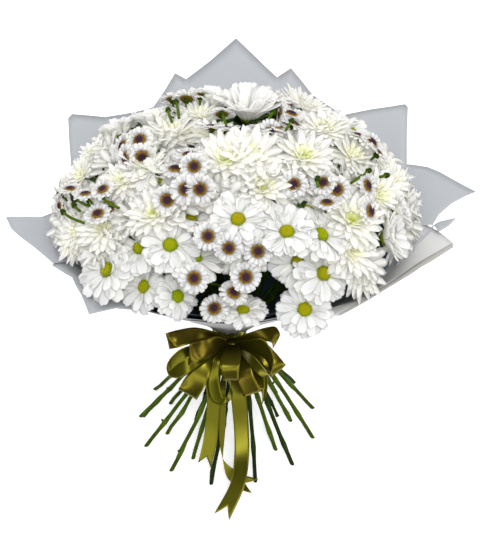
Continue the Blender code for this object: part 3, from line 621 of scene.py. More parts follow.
def sight_past_dome(pixel):
    """The line of sight where the dome is a unit sphere: its start, its step, and the steps to its middle."""
    start = to_unit(VIEW_EYE)
    step = shrunk(sight_line(pixel))
    return start, step, -start.dot(step) / step.dot(step)


def on_dome(pixel):
    """The point of the dome that this pixel shows, or the nearest to it on the dome's outline."""
    start, step, middle = sight_past_dome(pixel)
    nearest = start + step * middle
    inside = 1 - nearest.dot(nearest)
    if inside > 0:
        nearest = start + step * (middle - math.sqrt(inside / step.dot(step)))
    return from_unit(nearest)


def above_dome(pixel, rise):
    """The point that this pixel shows, so far above the dome, or the nearest to it on the line of sight."""
    start, step, middle = sight_past_dome(pixel)
    inside = (1 + rise / DOME_DEPTH) ** 2 - (start + step * middle).length_squared
    return VIEW_EYE + sight_line(pixel) * (middle - math.sqrt(max(inside, 0.0) / step.dot(step)))


def dome_at(x, y):
    unit = to_unit(Vector((x, y, DOME_MIDDLE.z)))
    rise = max(1 - unit.length_squared, DOME_LOWEST**2)
    return from_unit(unit + Vector((0, 0, math.sqrt(rise))))


def facing(point):
    """The way a bloom at this point of the dome faces."""
    normal = shrunk(to_unit(point)).normalized()
    across = Vector((normal.x, normal.y, 0))
    if math.atan2(across.length, normal.z) <= MOST_BLOOM_TILT:
        return normal
    across = across.normalized() * math.sin(MOST_BLOOM_TILT)
    return Vector((across.x, across.y, math.cos(MOST_BLOOM_TILT)))


def chain(points):
    """Pairs that link these points as one tree of shortest steps, parent first."""
    linked, links = [0], []
    while len(linked) < len(points):
        parent, child = min(
            ((a, b) for a in linked for b in range(len(points)) if b not in linked),
            key=lambda pair: (points[pair[0]] - points[pair[1]]).length,
        )
        linked.append(child)
        links.append((parent, child))
    return links


def kind_of(name):
    return name.split("_")[0]


def settled(sprays):
    """Where each spray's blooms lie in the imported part: sprays apart, the blooms of one spray touching."""
    owner, points, radii, linked = [], [], [], set()
    for name, places in sprays.items():
        linked |= {(len(points) + a, len(points) + b) for a, b in chain(places)}
        points += places
        owner += [name] * len(places)
        radii += [KINDS[kind_of(name)].settled_radius] * len(places)
    for _ in range(SETTLING_STEPS):
        moves = [Vector() for _ in points]
        for a, here in enumerate(points):
            for b in range(a + 1, len(points)):
                apart = points[b] - here
                least, most = CLEAR_OF_OWN * radii[a], math.inf
                if owner[a] != owner[b]:
                    least = radii[a] + radii[b] + BLOOM_GAP
                if (a, b) in linked:
                    least, most = (share * radii[a] for share in TOUCHING)
                wanted = min(max(apart.length, least), most)
                push = apart.normalized() * (apart.length - wanted) * (0.5 if wanted == most else 0.35)
                share = radii[b] / (radii[a] + radii[b])
                moves[a] += push * share
                moves[b] -= push * (1 - share)
        points = [from_unit(to_unit(point + move)) for point, move in zip(points, moves)]
    result = {name: [] for name in sprays}
    for name, point in zip(owner, points):
        result[name].append(point)
    return result


def basis(axis, toward):
    """Two directions square to the axis, the first as near as it can be to the one asked for."""
    first = toward - axis * toward.dot(axis)
    if first.length < 1e-6:
        first = axis.orthogonal()
    first.normalize()
    return first, axis.cross(first)


def curve(start, leave, arrive, end, count):
    """Points of a smooth curve that leaves and arrives by way of its two inner handles."""
    points = []
    for t in (index / count for index in range(count + 1)):
        near = start * (1 - t) ** 3 + leave * 3 * t * (1 - t) ** 2
        points.append(near + arrive * 3 * t * t * (1 - t) + end * t**3)
    return points


def back_along(points, distance):
    """The point this far back from the end of a line of points."""
    for after, before in zip(points[::-1], points[-2::-1]):
        length = (after - before).length
        if distance < length:
            return after.lerp(before, distance / length)
        distance -= length
    return points[0]


def smooth_step(value):
    value = np.clip(value, 0.0, 1.0)
    return value * value * (3 - 2 * value)


def blend(first, second, share):
    """Two tints mixed, for each share in an array of them."""
    share = np.asarray(share)[..., None]
    return np.asarray(first) * (1 - share) + np.asarray(second) * share


def step_lengths(points):
    return np.linalg.norm(np.diff(points, axis=0), axis=-1)


def lengths_along(points):
    """How far along a line each of its points is."""
    return np.concatenate(([0], np.cumsum(step_lengths(points))))


class Shape:
    """Points, faces, tints and surface places gathered for one piece."""

    def __init__(self):
        self.points, self.tints, self.places, self.faces, self.slots = [], [], [], [], []
        self.count = 0

    def add(self, points, faces, tints, places=None, slot=0):
        points = np.asarray(points, float).reshape(-1, 3)
        self.points.append(points)
        self.tints.append(np.broadcast_to(np.asarray(tints, float), points.shape))
        self.places.append(np.zeros((len(points), 2)) if places is None else places.reshape(-1, 2))
        self.count += len(points)
        self.add_faces(faces, len(points), slot)

    def add_faces(self, faces, back, slot):
        """Faces between the points added last, of which there are so many."""
        self.faces += (np.asarray(faces) + self.count - back).tolist()
        self.slots += [slot] * len(faces)

    def build(self, name, materials, slot, nodes=()):
        """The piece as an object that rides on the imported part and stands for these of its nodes."""
        mesh = bpy.data.meshes.new(name)
        points = np.concatenate(self.points) + np.array(CENTRE_SHIFT)
        mesh.from_pydata(points.tolist(), [], self.faces)
        tint = mesh.color_attributes.new("tint", "FLOAT_COLOR", "POINT")
        colours = np.ones((len(points), 4), np.float32)
        colours[:, :3] = np.concatenate(self.tints)
        tint.data.foreach_set("color", colours.ravel())
        corners = np.empty(len(mesh.loops), np.int32)
        mesh.loops.foreach_get("vertex_index", corners)
        places = mesh.uv_layers.new(name="surface")
        places.data.foreach_set("uv", np.concatenate(self.places)[corners].astype(np.float32).ravel())
        mesh.polygons.foreach_set("use_smooth", np.ones(len(mesh.polygons), bool))
        mesh.polygons.foreach_set("material_index", np.array(self.slots, np.int32))
        for material in materials:
            mesh.materials.append(material)
        mesh.update()
        piece = bpy.data.objects.new(name, mesh)
        bpy.context.scene.collection.objects.link(piece)
        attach(piece, "root")
        if nodes:
            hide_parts(*nodes)
        return piece


def grid_faces(rows, columns, wrap=False):
    """Four-sided faces of a grid of points, closed round its columns if asked."""
    row, column = np.meshgrid(np.arange(rows - 1), np.arange(columns if wrap else columns - 1), indexing="ij")
    here, after = row * columns + column, row * columns + (column + 1) % columns
    return np.stack((here, after, after + columns, here + columns), axis=-1).reshape(-1, 4)


def add_leaves(shape, top, normals, thickness, tints, places):
    """Adds thin closed forms, one a row of the arrays: a grid of points, and its inner points again below."""
    count, rows, columns = top.shape[:3]
    upper, lower = rows * columns, (rows - 2) * (columns - 2)
    under = np.arange(upper).reshape(rows, columns)
    under[1:-1, 1:-1] = upper + np.arange(lower).reshape(rows - 2, columns - 2)
    faces = grid_faces(rows, columns)
    faces = np.concatenate((faces, under.ravel()[faces][:, ::-1]))

    def joined(values, values_below):
        inner = values_below[:, 1:-1, 1:-1].reshape(count, lower, -1)
        both = np.concatenate((values.reshape(count, upper, -1), inner), 1)
        return both.reshape(count * (upper + lower), -1)

    starts = (np.arange(count) * (upper + lower))[:, None, None]
    points = joined(top, top - normals * thickness)
    shape.add(points, (faces + starts).reshape(-1, 4), joined(tints, tints), joined(places, places))


def bent(rise, along, length):
    """How far out and up a bent line goes, from its slope at each place along it."""
    middle = (rise[..., 1:] + rise[..., :-1]) / 2
    steps = np.diff(along) * length
    start = np.zeros(rise.shape[:-1] + (1,))
    return [np.concatenate((start, np.cumsum(part(middle) * steps, -1)), -1) for part in (np.cos, np.sin)]


Seat = namedtuple("Seat", "point axis first second scale")


def seat_at(point, axis, scale=1.0):
    first, second = basis(axis, Vector((1, 0, 0)))
    return Seat(np.array(point), np.array(axis), np.array(first), np.array(second), scale)


def add_petals(shape, seat, row, rng, droop=0.0, shade=(1.0, 1.0, 1.0)):
    """A ring of petals round a seat. The droop, in degrees, lets the whole ring hang."""
    n, outline = row.count, row.outline
    along = np.array(outline.along)
    start = rng.uniform(0, 2 * math.pi)
    angle = start + 2 * math.pi * (np.arange(n) + rng.uniform(-PETAL_SPACING, PETAL_SPACING, n)) / n
    length = row.length * seat.scale * rng.uniform(*PETAL_LENGTHS, n)
    width = row.width * seat.scale * rng.uniform(*PETAL_WIDTHS, n)
    lean = np.radians(row.lean - droop + rng.normal(0, PETAL_JITTER, n))
    bend = np.radians(row.bend + rng.normal(0, PETAL_JITTER * 1.5, n))
    twist = np.radians(rng.normal(0, PETAL_JITTER * 1.4, n))
    cup = row.cup * rng.uniform(*PETAL_CUPS, n)
    rise = lean[:, None] + bend[:, None] * along
    reach, height = bent(rise, along, length[:, None])
    reach += row.start * seat.scale
    height += row.height * seat.scale
    out = np.cos(angle)[:, None] * seat.first + np.sin(angle)[:, None] * seat.second
    side = (np.cos(angle)[:, None] * seat.second - np.sin(angle)[:, None] * seat.first)[:, None]
    upright = -np.sin(rise)[..., None] * out[:, None] + np.cos(rise)[..., None] * seat.axis
    tangent = np.cos(rise)[..., None] * out[:, None] + np.sin(rise)[..., None] * seat.axis
    turn = (twist[:, None] * along)[..., None]
    aside = np.cos(turn) * side + np.sin(turn) * upright
    normal = (np.cos(turn) * upright - np.sin(turn) * side)[:, :, None]
    across = np.linspace(-1, 1, outline.columns)
    half = width[:, None] / 2 * np.array(outline.share)
    groove = PETAL_GROOVE * seat.scale * np.cos(across * 1.5 * math.pi * (1 if outline.columns > 5 else 1.33))
    groove *= outline.columns > 3
    lift = (half * cup[:, None])[..., None] * across**2 + groove * np.minimum(1, (1 - along) * 4)[:, None]
    centre = seat.point + out[:, None] * reach[..., None] + seat.axis * height[..., None]
    top = centre[:, :, None] + aside[:, :, None] * (half[..., None] * across)[..., None]
    top += normal * lift[..., None]
    for index, share in ((-1, 1.0), (-2, 0.4)):
        top[:, index] -= tangent[:, index, None] * (outline.notch * share * (1 - abs(across)))[:, None]
    tints = blend(row.base, row.tip, smooth_step(along / 0.55))
    tints = tints[None, :, None] * rng.uniform(*PETAL_SHADES, n)[:, None, None, None] * np.array(shade)
    places = np.empty(top.shape[:3] + (2,))
    places[..., 0] = across / 2 + np.arange(n)[:, None, None]
    places[..., 1] = along[None, :, None]
    add_leaves(shape, top, normal, PETAL_THICKNESS, np.broadcast_to(tints, top.shape), places)


def add_end(shape, ring, middle, tint, first, slot=0):
    """Closes the first or the last ring of a round form with a point in its middle."""
    sides = len(ring)
    faces = [((a + 1) % sides, a, sides) if first else (a, (a + 1) % sides, sides) for a in range(sides)]
    shape.add(np.concatenate((ring, [middle])), faces, tint, None, slot)


def add_turned(shape, seat, profile, sides, tints, slot=0):
    """A closed form turned round a seat's axis from distances and heights, its ends drawn in to points."""
    angle = 2 * math.pi * np.arange(sides) / sides
    around = np.cos(angle)[:, None] * seat.first + np.sin(angle)[:, None] * seat.second
    profile = np.array(profile) * seat.scale
    points = seat.point + profile[:, 0, None, None] * around + profile[:, 1, None, None] * seat.axis
    shape.add(points, grid_faces(len(profile), sides, wrap=True), np.repeat(tints, sides, 0), None, slot)
    for row in (0, -1):
        add_end(shape, points[row], seat.point + profile[row, 1] * seat.axis, tints[row], row == 0, slot)


def add_eye(shape, seat, radius, height, florets, edge, colours):
    """The eye of a bloom: a low dome set with small florets. The edge is where the outer colour starts."""
    inner, outer = (np.array(colour) for colour in colours)
    profile = [(radius, EYE_FOOT)] + [(radius * out, height * up) for out, up in EYE_PROFILE]
    tints = [colour * shade for colour, shade in zip((outer, outer, outer, inner), EYE_DOME_PAINTED_SHADE)]
    add_turned(shape, seat, profile, 14, tints, slot=1)
    order = np.arange(florets) + 0.5
    distance = np.sqrt(order / florets)
    angle = order * GOLDEN_TURN
    size = radius * FLORET_SIZE / math.sqrt(florets)
    base = height * (1 - distance**EYE_FALL_POWER * EYE_FALL)
    n = FLORET_SIDES
    corner = 2 * math.pi * np.arange(n) / n
    rings = []
    for share, rise, _ in FLORET_RINGS:
        ring_x = distance[:, None] * radius * np.cos(angle)[:, None] + np.cos(corner) * size * share
        ring_y = distance[:, None] * radius * np.sin(angle)[:, None] + np.sin(corner) * size * share
        ring_z = np.repeat((base + size * rise)[:, None], n, 1)
        rings.append(np.stack((ring_x, ring_y, ring_z), -1))
    local = np.concatenate((rings[0], rings[1], rings[2][:, :1]), 1) * seat.scale
    points = seat.point + local[..., 0:1] * seat.first + local[..., 1:2] * seat.second
    points += local[..., 2:3] * seat.axis
    at_edge = np.clip((distance - edge) * EYE_EDGE_SHARPNESS, 0, 1)
    # Painted shade: dark dots among the edge florets
    edge_painted_shade_dots = np.where(np.arange(florets) % 3, *EYE_EDGE_PAINTED_SHADE_DOTS)
    tints = blend(inner, outer, at_edge) * (1 + at_edge * edge_painted_shade_dots)[:, None]
    # Painted shade at each floret's foot and a painted highlight at its tip
    floret_painted_shading = np.repeat([light for _, _, light in FLORET_RINGS], (n, n, 1))
    tints = np.repeat(tints[:, None], 2 * n + 1, 1) * floret_painted_shading[:, None]
    starts = (np.arange(florets) * (2 * n + 1))[:, None, None]
    sides = [(i, (i + 1) % n, n + (i + 1) % n, n + i) for i in range(n)]
    caps = [(n + i, n + (i + 1) % n, 2 * n) for i in range(n)]
    shape.add(points, (sides + starts).reshape(-1, 4), tints.reshape(-1, 3), None, slot=1)
    shape.add_faces((caps + starts).reshape(-1, 3), florets * (2 * n + 1), slot=1)


def add_bloom(shape, kind, seat, rng, cupped, green_heart):
    droop = rng.uniform(*DROOPS) - (CUPPED_BY if cupped else 0)
    shade = BACK_SHADE if seat.point[1] > BACK_FROM else (1.0, 1.0, 1.0)
    for row in BLOOM_ROWS[kind]:
        if not green_heart:
            pale = {part: PALE_HEART for part in ("base", "tip") if getattr(row, part) == HEART}
            row = row._replace(**pale)
        add_petals(shape, seat, row, rng, droop, shade)
    radius, height, florets, edge = EYES[kind]
    colours = {"double": HEART_EYE if green_heart else PALE_HEART_EYE, "button": BUTTON_EYE}.get(kind)
    if kind == "daisy":
        ripe = rng.uniform(0, 1)
        colours = [blend(green, golden, ripe) for green, golden in zip(GREEN_EYE, GOLDEN_EYE)]
        radius /= seat.scale**EYE_KEEPS_SIZE
    add_eye(shape, seat, radius, height, florets, edge, colours)


def add_tube(shape, points, radii, sides, tints, flat_start=False):
    """A round bar through these points, with a tint at each."""
    path = np.array([tuple(point) for point in points])
    ahead = np.gradient(path, axis=0)
    ahead /= np.linalg.norm(ahead, axis=1)[:, None]
    side = np.array(Vector(ahead[0]).orthogonal().normalized())
    angle = 2 * math.pi * np.arange(sides) / sides
    rings = []
    for point, tangent, radius in zip(path, ahead, radii):
        side = side - tangent * side.dot(tangent)
        side /= np.linalg.norm(side)
        other = np.cross(tangent, side)
        rings.append(point + (np.cos(angle)[:, None] * side + np.sin(angle)[:, None] * other) * radius)
    if flat_start:
        rings[0] = rings[0] - ahead[0] * (rings[0][:, 2:3] / ahead[0][2])
    shape.add(rings, grid_faces(len(path), sides, wrap=True), np.repeat(np.array(tints), sides, 0))
    add_end(shape, rings[0], rings[0].mean(0), CUT_END if flat_start else tints[0], True)
    add_end(shape, rings[-1], rings[-1].mean(0), tints[-1], False)


def add_cup(shape, seat, radius, rng):
    """The green cup under a bloom, with its scales."""
    profile = [(radius * out, up) for out, up in CUP_PROFILE]
    add_turned(shape, seat, profile, 10, [STEM_LIGHT] * 2 + [LEAF_GREEN] * 3)
    count, start, height, length, width, *curl = CUP_SCALES
    size = radius * start, height, radius * length, radius * width
    add_petals(shape, seat, Row(SHORT_PETAL, count, *size, *curl, LEAF_GREEN, STEM_LIGHT * 0.8), rng)


def spray_meeting(kind, points):
    """Where the stalks of a spray leave its stem."""
    middle = sum(points, Vector()) / len(points)
    anchor = Vector((0, 0, STEM_MEETING_Z))
    return anchor + (middle - anchor) * KINDS[kind].meeting_depth


def stem_rulings(meetings):
    """Each spray's stem, as points at the floor, at the tie and above, in rings by how far out it ends."""
    outward = sorted(meetings, key=lambda name: -Vector((meetings[name].x, meetings[name].y)).length)
    rulings = {}
    for count, radius, spread_below, spread_above in STEM_RINGS:
        names = outward[len(rulings) : len(rulings) + count]
        names.sort(key=lambda name: math.atan2(meetings[name].y, meetings[name].x))
        turn = 2 * math.pi / len(names)
        ends = [math.atan2(meetings[name].y, meetings[name].x) - STEM_LEAD for name in names]
        sines = sum(math.sin(end - turn * index) for index, end in enumerate(ends))
        cosines = sum(math.cos(end - turn * index) for index, end in enumerate(ends))
        for index, name in enumerate(names):
            angle = math.atan2(sines, cosines) + turn * index
            at_tie = Vector((math.cos(angle) * radius + TIE_X, math.sin(angle) * radius, TIE_Z))
            along = Vector((-math.sin(angle), math.cos(angle), 0))
            foot = at_tie - along * spread_below * TIE_Z - Vector((0, 0, TIE_Z)) + FOOT_SHIFT
            rise = STEM_BEND_Z - TIE_Z
            rulings[name] = foot, at_tie, at_tie + along * spread_above * rise + Vector((0, 0, rise))
    return rulings


def add_leaf(shape, start, outward, length, width, rng):
    """A lobed leaf that stands out from a stem."""
    along, across = np.linspace(0, 1, 15), np.linspace(-1, 1, 7)
    rise = np.radians(LEAF_LEAN + LEAF_BEND * along + rng.normal(0, LEAF_JITTER))
    reach, height = bent(rise, along, length)
    out, up = np.array(outward), np.array((0.0, 0.0, 1.0))
    centre = np.array(start) + out * reach[:, None] + up * height[:, None]
    normal = (-np.sin(rise)[:, None] * out + np.cos(rise)[:, None] * up)[:, None]
    lobes = 1 - LOBE_DEPTH * (0.5 + 0.5 * np.cos(along * 2 * math.pi * LEAF_LOBES))
    half = width / 2 * np.clip(np.sin(math.pi * np.clip(along, 0.06, 0.985) ** 0.9), 0.1, 1) * lobes
    half[:2] = width * LEAF_STALK
    lift = half[:, None] * (LEAF_CUP * across**2 + LEAF_RIPPLE * np.cos(across * 3 * math.pi))
    top = centre[:, None] + np.cross(up, out) * (half[:, None] * across)[..., None] + normal * lift[..., None]
    tints = np.broadcast_to(blend(STEM_LIGHT, LEAF_GREEN, smooth_step(abs(across) * 2.5))[None], top.shape)
    places = np.stack(np.broadcast_arrays(across[None] / 2, along[:, None]), -1)
    add_leaves(shape, top[None], normal[None], LEAF_THICKNESS, tints[None], places[None])


def add_stem(shape, foot, at_tie, bend, meeting, arrive, rng):
    """A stem with knees, cut stubs and perhaps a side shoot. Returns its line of points."""
    line = (bend - at_tie).normalized()
    upper = curve(bend, bend + line * STEM_LEAVES, meeting - arrive * STEM_ARRIVES, meeting, UPPER_STEPS)
    lower = [foot.lerp(at_tie, index / TIE_STEP) for index in range(TIE_STEP + 1)]
    wander = Vector(rng.uniform(-STEM_WANDER, STEM_WANDER, 3))
    zigzag = Vector(rng.uniform(-STEM_ZIGZAG, STEM_ZIGZAG, 3))
    for index in range(1, FREE_STEPS):
        sideways = wander * math.sin(math.pi * index / FREE_STEPS)
        lower[index] += sideways + zigzag * math.sin(math.pi * index / 2)
    base = blend(STEM_DARK, STEM_LIGHT, rng.uniform(0.0, 1.0) ** 1.5)
    phase = rng.randint(0, KNEE_EVERY)
    knees = [index for index in range(1, FREE_STEPS) if (index + phase) % KNEE_EVERY == 2]
    radii, tints = [], []
    for index in range(len(lower)):
        swell, light = (KNEE_SWELL, KNEE_LIGHT) if index in knees else (0.95, 1.0)
        radii.append(STEM_RADIUS * swell)
        tints.append(base * light * (0.8 + 0.4 * index / TIE_STEP))
    radii += [STEM_RADIUS * 0.94 - 0.0005 * index / UPPER_STEPS for index in range(len(upper))]
    add_tube(shape, lower + upper, radii, 10, tints + [base] * len(upper), flat_start=True)
    for start in (lower[index] for index in knees if index > 1):
        way = Vector((rng.uniform(-1, 1), rng.uniform(-1, 1), 0.9)).normalized()
        stub = [start, start + way * STUB_MIDDLE, start + way * rng.uniform(*STUB_LENGTHS)]
        add_tube(shape, stub, STUB_RADII, 6, [base] * 3)
    if foot.length > SHOOTS_FROM and rng.uniform() < SHOOTS_SHARE:
        start = lower[rng.randint(5, 9)]
        down = (lower[0] - start).normalized()
        aside = down.cross(Vector((0, 0, 1))).normalized() * rng.choice((-1, 1)) * rng.uniform(*SHOOT_SPREADS)
        reach = min(rng.uniform(*SHOOT_LENGTHS), (start.z - SHOOT_CLEARANCE) / -down.z)
        steps = np.linspace(0, 1, 8)
        shoot = [start + down * reach * t + aside * reach * t**0.7 * (1 - 0.25 * t) for t in steps]
        thick = [STEM_RADIUS * (0.98 if step % 3 == 1 else 0.72) for step in range(8)]
        add_tube(shape, shoot, thick, 8, [base * 0.9] * 8)
    return lower + upper


def add_spray_greens(shape, kind, seats, meeting, ruling, rng):
    """A spray's stem, and its stalks with a cup under each bloom."""
    arrive = (meeting - STEM_AIM).normalized()
    stem = add_stem(shape, *ruling, meeting, arrive, rng)
    straight_on = [(Vector(seat.point) - meeting).normalized().dot(arrive) for seat in seats]
    order = sorted(range(len(seats)), key=lambda index: straight_on[index])
    for index, seat in enumerate(seats):
        axis = Vector(seat.axis)
        start = back_along(stem, STALK_START + STALK_STEP * (len(seats) - 1 - order.index(index)))
        below = Vector(seat.point) - axis * CUP_HEIGHT
        away = (below - start).normalized()
        stalk = curve(start, start + away * STALK_LEAVES, below - axis * STALK_ARRIVES, below, 9)
        shade = blend(STEM_DARK, STEM_LIGHT, rng.uniform(0.5, 1.0)) * STALK_LIGHT
        radii = [STALK_RADIUS * 1.15] + [STALK_RADIUS] * 8 + [STALK_RADIUS * 1.2]
        add_tube(shape, stalk, radii, 6, [shade] * 10)
        add_cup(shape, seat, CUP_RADII[kind], rng)
    if kind == "daisy":
        start = back_along(stem, LEAF_BELOW_MEETING)
        add_leaf(shape, start, Vector((start.x, start.y, 0)).normalized(), *STEM_LEAF, rng)


def bloom_seats(name, wanted, found, rng):
    """Where each bloom of a spray sits and faces: on its pixel if it shows, but near its packed place."""
    kind = KINDS[kind_of(name)]
    seats = []
    for index, (place, point) in enumerate(zip(wanted, found)):
        bloom = SEEN_AT_BACK.get((name, index))
        rise = kind.rise
        if bloom is None and name in SEEN_SPRAYS:
            bloom = Bloom(*SEEN_SPRAYS[name][index])
            rise += (-SUNK if bloom.y > SUNK_BELOW_PX else 0) + rng.uniform(-RISE_JITTER, RISE_JITTER)
            rise += bloom.raised / 1000
        if bloom:
            axis = as_seen(bloom)
            spot = above_dome((bloom.x, bloom.y), rise)
        else:
            axis = (facing(place) + Vector(rng.normal(0, HIDDEN_WANDER, 3))).normalized()
            spot = point + facing(place) * (rise + rng.uniform(-RISE_JITTER, RISE_JITTER))
        spot -= axis * kind.eye_height
        move = spot - point
        if move.length > MOST_MOVE:
            spot = point + move * (MOST_MOVE / move.length)
        seats.append(seat_at(spot, axis, rng.uniform(*BLOOM_SIZES) * (bloom.size if bloom else 1.0)))
    return seats


def spread_over_dome(count, lowest):
    """Points in a spiral down the dome to this height of its unit sphere, and where the photo shows each."""
    for index in range(count):
        height = lowest + (1 - lowest) * (index + 0.5) / count
        across = math.sqrt(1 - height**2)
        turn = index * GOLDEN_TURN
        point = from_unit(Vector((math.cos(turn) * across, math.sin(turn) * across, height)))
        yield point, pixel_of(point)


def in_clearing(pixel):
    return CLEARING[0][0] < pixel[0] < CLEARING[1][0] and CLEARING[0][1] < pixel[1] < CLEARING[1][1]


def filler_places(seats):
    """Places under the dome, between the seats, for the blooms that others hide, but not in the gaps."""
    for point, pixel in spread_over_dome(FILLERS, FILLER_LOWEST):
        hidden = point.y > 0 and facing(point).y > 0.5
        if in_clearing(pixel) and not hidden:
            continue
        covered = False
        for kind, seat in ((KINDS[kind_of(name)], seat) for name, found in seats.items() for seat in found):
            covered |= (Vector(seat.point) - point).length < kind.clear
            covered |= not hidden and math.dist(pixel, pixel_of(Vector(seat.point))) < kind.clear_px
        if not covered and (hidden or all(math.dist(pixel, gap) > GAP_PX for gap in GAPS)):
            yield point + facing(point) * FILLER_RISE


def leaf_places():
    """Places of the leaves under the blooms, which make the gaps between them dark."""
    for point, pixel in spread_over_dome(LEAVES, LEAVES_LOWEST):
        if not in_clearing(pixel):
            yield point + facing(point) * LEAVES_RISE


def shared_out(points, places):
    """These points under the name of the spray whose packed blooms are nearest to each."""
    given = {name: [] for name in places}
    for point in points:
        nearest = min(places, key=lambda name: min((point - other).length for other in places[name]))
        given[nearest].append(point)
    return given


def add_seen_stalk(shape, pixels, rng):
    """A stalk that shows between the blooms, with its cup."""
    path = curve(*(above_dome(pixels[step], SEEN_STALK_RISE) for step in (0, 1, 1, 2)), 8)
    shade = blend(STEM_DARK, STEM_LIGHT, 0.9) * SEEN_STALK_LIGHT
    add_tube(shape, path, [SEEN_STALK_RADIUS] * 9, 8, [shade] * 9)
    add_cup(shape, seat_at(path[0], (path[0] - path[1]).normalized()), SEEN_CUP_RADIUS, rng)


def build_sprays(materials):
    wanted = {name: [on_dome(pixel) for pixel in pixels] for name, pixels in SEEN_SPRAYS.items()}
    wanted |= {name: [dome_at(x, y) for x, y in places] for name, places in HIDDEN_SPRAYS.items()}
    places = settled(wanted)
    meetings = {name: spray_meeting(kind_of(name), found) for name, found in places.items()}
    rulings = stem_rulings(meetings)
    draws = {name: seeded(name) for name in places}
    seats = {name: bloom_seats(name, wanted[name], found, draws[name]) for name, found in places.items()}
    fillers = shared_out(filler_places(seats), places)
    leaves = shared_out(leaf_places(), places)
    for name in places:
        kind, rng = kind_of(name), draws[name]
        flowers, greens = Shape(), Shape()
        for index, seat in enumerate(seats[name]):
            cupped = kind == "daisy" and (name, index) in SEEN_AT_BACK
            add_bloom(flowers, kind, seat, rng, cupped, index in GREEN_HEARTS.get(name, ()))
        for point in fillers[name]:
            axis = (facing(point) + Vector(rng.normal(0, FILLER_WANDER, 3))).normalized()
            seat = seat_at(point, axis, rng.uniform(*FILLER_SIZES))
            for row in BLOOM_ROWS["filler"]:
                add_petals(flowers, seat, row, rng)
        colour = "cream" if kind == "double" else "white"
        slots = [materials["petal_" + colour], materials["eye"]]
        flowers.build(name + "_flowers", slots, "petals_" + colour, [name + "_blooms"])
        add_spray_greens(greens, kind, seats[name], meetings[name], rulings[name], rng)
        for point in leaves[name]:
            way = rng.uniform(0, 2 * math.pi)
            outward = Vector((math.cos(way), math.sin(way), 0))
            add_leaf(greens, point - outward * FILLER_LEAF[0] / 2, outward, *FILLER_LEAF, rng)
        for pixels in SEEN_STALKS.get(name, ()):
            add_seen_stalk(greens, pixels, rng)
        greens.build(name + "_greens", [materials["green"]], "stem_green", [name + "_stems"])


def in_round(x, y):
    """A point in plan on the scale where the wrap is round: about the tie at its foot, shallow at its rim."""
    foot, rim = 2 * WRAP_PROFILE[0][0], WRAP_PROFILE[-1][0]
    near = min(max((rim - math.hypot(x, y)) / (rim - foot), 0.0), 1.0)
    share = WRAP_FRONT_SHARE if y < 0 else WRAP_BACK_SHARE
    return x - TIE_X * near, y * (1 + (1 / share - 1) * (1 - near))


def in_plan(distance, angle):
    """The point in plan at this distance and direction on the scale where the wrap is round."""
    round_x, round_y = x, y = distance * math.cos(angle), distance * math.sin(angle)
    for _ in range(12):
        seen_x, seen_y = in_round(x, y)
        x += round_x - seen_x
        y += round_y - seen_y
    return x, y


def wrap_profile(distance):
    """The wrap's height at this distance, as a smooth curve through the profile's points."""
    reaches, heights = zip(*WRAP_PROFILE)
    slopes = np.gradient(heights, reaches)
    index = int(np.clip(np.searchsorted(reaches, distance) - 1, 0, len(reaches) - 2))
    span = reaches[index + 1] - reaches[index]
    t = min(max((distance - reaches[index]) / span, 0.0), 1.0)
    return (
        heights[index] * (1 + 2 * t) * (1 - t) ** 2
        + slopes[index] * span * t * (1 - t) ** 2
        + heights[index + 1] * t * t * (3 - 2 * t)
        + slopes[index + 1] * span * t * t * (t - 1)
    )


def wrap_height(x, y, layer):
    """The height of this layer of the wrap over a point in plan."""
    x, y = in_round(x, y)
    distance, angle = math.hypot(x, y), math.atan2(y, x)
    rim = WRAP_PROFILE[-1][0]
    flare = WRAP_FLARE_FRONT + (WRAP_FLARE_BACK - WRAP_FLARE_FRONT) * max(0.0, y / distance) ** 1.5
    out = distance / rim
    folds = 0.0
    for high, number, turn, power in WRAP_WAVES:
        folds += high * out**power * math.sin(number * angle + turn)
    pleats = PLEAT_HEIGHT * max(0.0, 1 - distance / PLEATS_TO)
    pleats *= math.sin(WRAP_PLEATS * angle + 3 * math.sin(3 * angle))
    pleats += WRAP_LIP * max(0.0, -y / distance) ** 1.5 * min(out, 1.0) ** 2.5
    beyond = max(0.0, distance - rim) * flare
    return wrap_profile(min(distance, rim)) + beyond + folds + pleats - layer * WRAP_PITCH


def on_wrap(pixel, layer):
    """The point where the line of sight through this pixel meets a layer of the wrap."""
    direction = sight_line(pixel)
    near, far = 0.8, 2.2
    for _ in range(40):
        middle = (near + far) / 2
        point = VIEW_EYE + direction * middle
        if point.z > wrap_height(point.x, point.y, layer):
            near = middle
        else:
            far = middle
    return VIEW_EYE + direction * near


def sheet_outline(places, layer):
    """The edge of a sheet as distances and directions on the round scale, a few millimetres apart."""
    corners = []
    for place in places:
        if isinstance(place, int):
            spot = in_plan(WRAP_PROFILE[-1][0] + HIDDEN_RIM_REACH, math.radians(place))
        else:
            spot = on_wrap(place, layer)[:2]
        corners.append(np.array(in_round(*spot)))
    points = []
    for here, after in zip(corners, corners[1:]):
        turn = math.atan2(here[0] * after[1] - here[1] * after[0], here.dot(after))
        from_axis, to_axis = np.linalg.norm(here), np.linalg.norm(after)
        count = max(1, int(np.linalg.norm(after - here) / SHEET_STEP), int(abs(turn) / SHEET_TURN))
        share = np.arange(count)[:, None] / count
        if abs(turn) > ARC_FROM and abs(from_axis - to_axis) < ARC_MOST_CHANGE:
            ways = math.atan2(here[1], here[0]) + turn * share
            reach = from_axis * (1 - share) + to_axis * share
            points += list(np.concatenate((reach * np.cos(ways), reach * np.sin(ways)), -1))
        else:
            points += list(here * (1 - share) + after * share)
    points.append(corners[-1])
    return [(float(np.hypot(*point)), math.atan2(point[1], point[0])) for point in points]


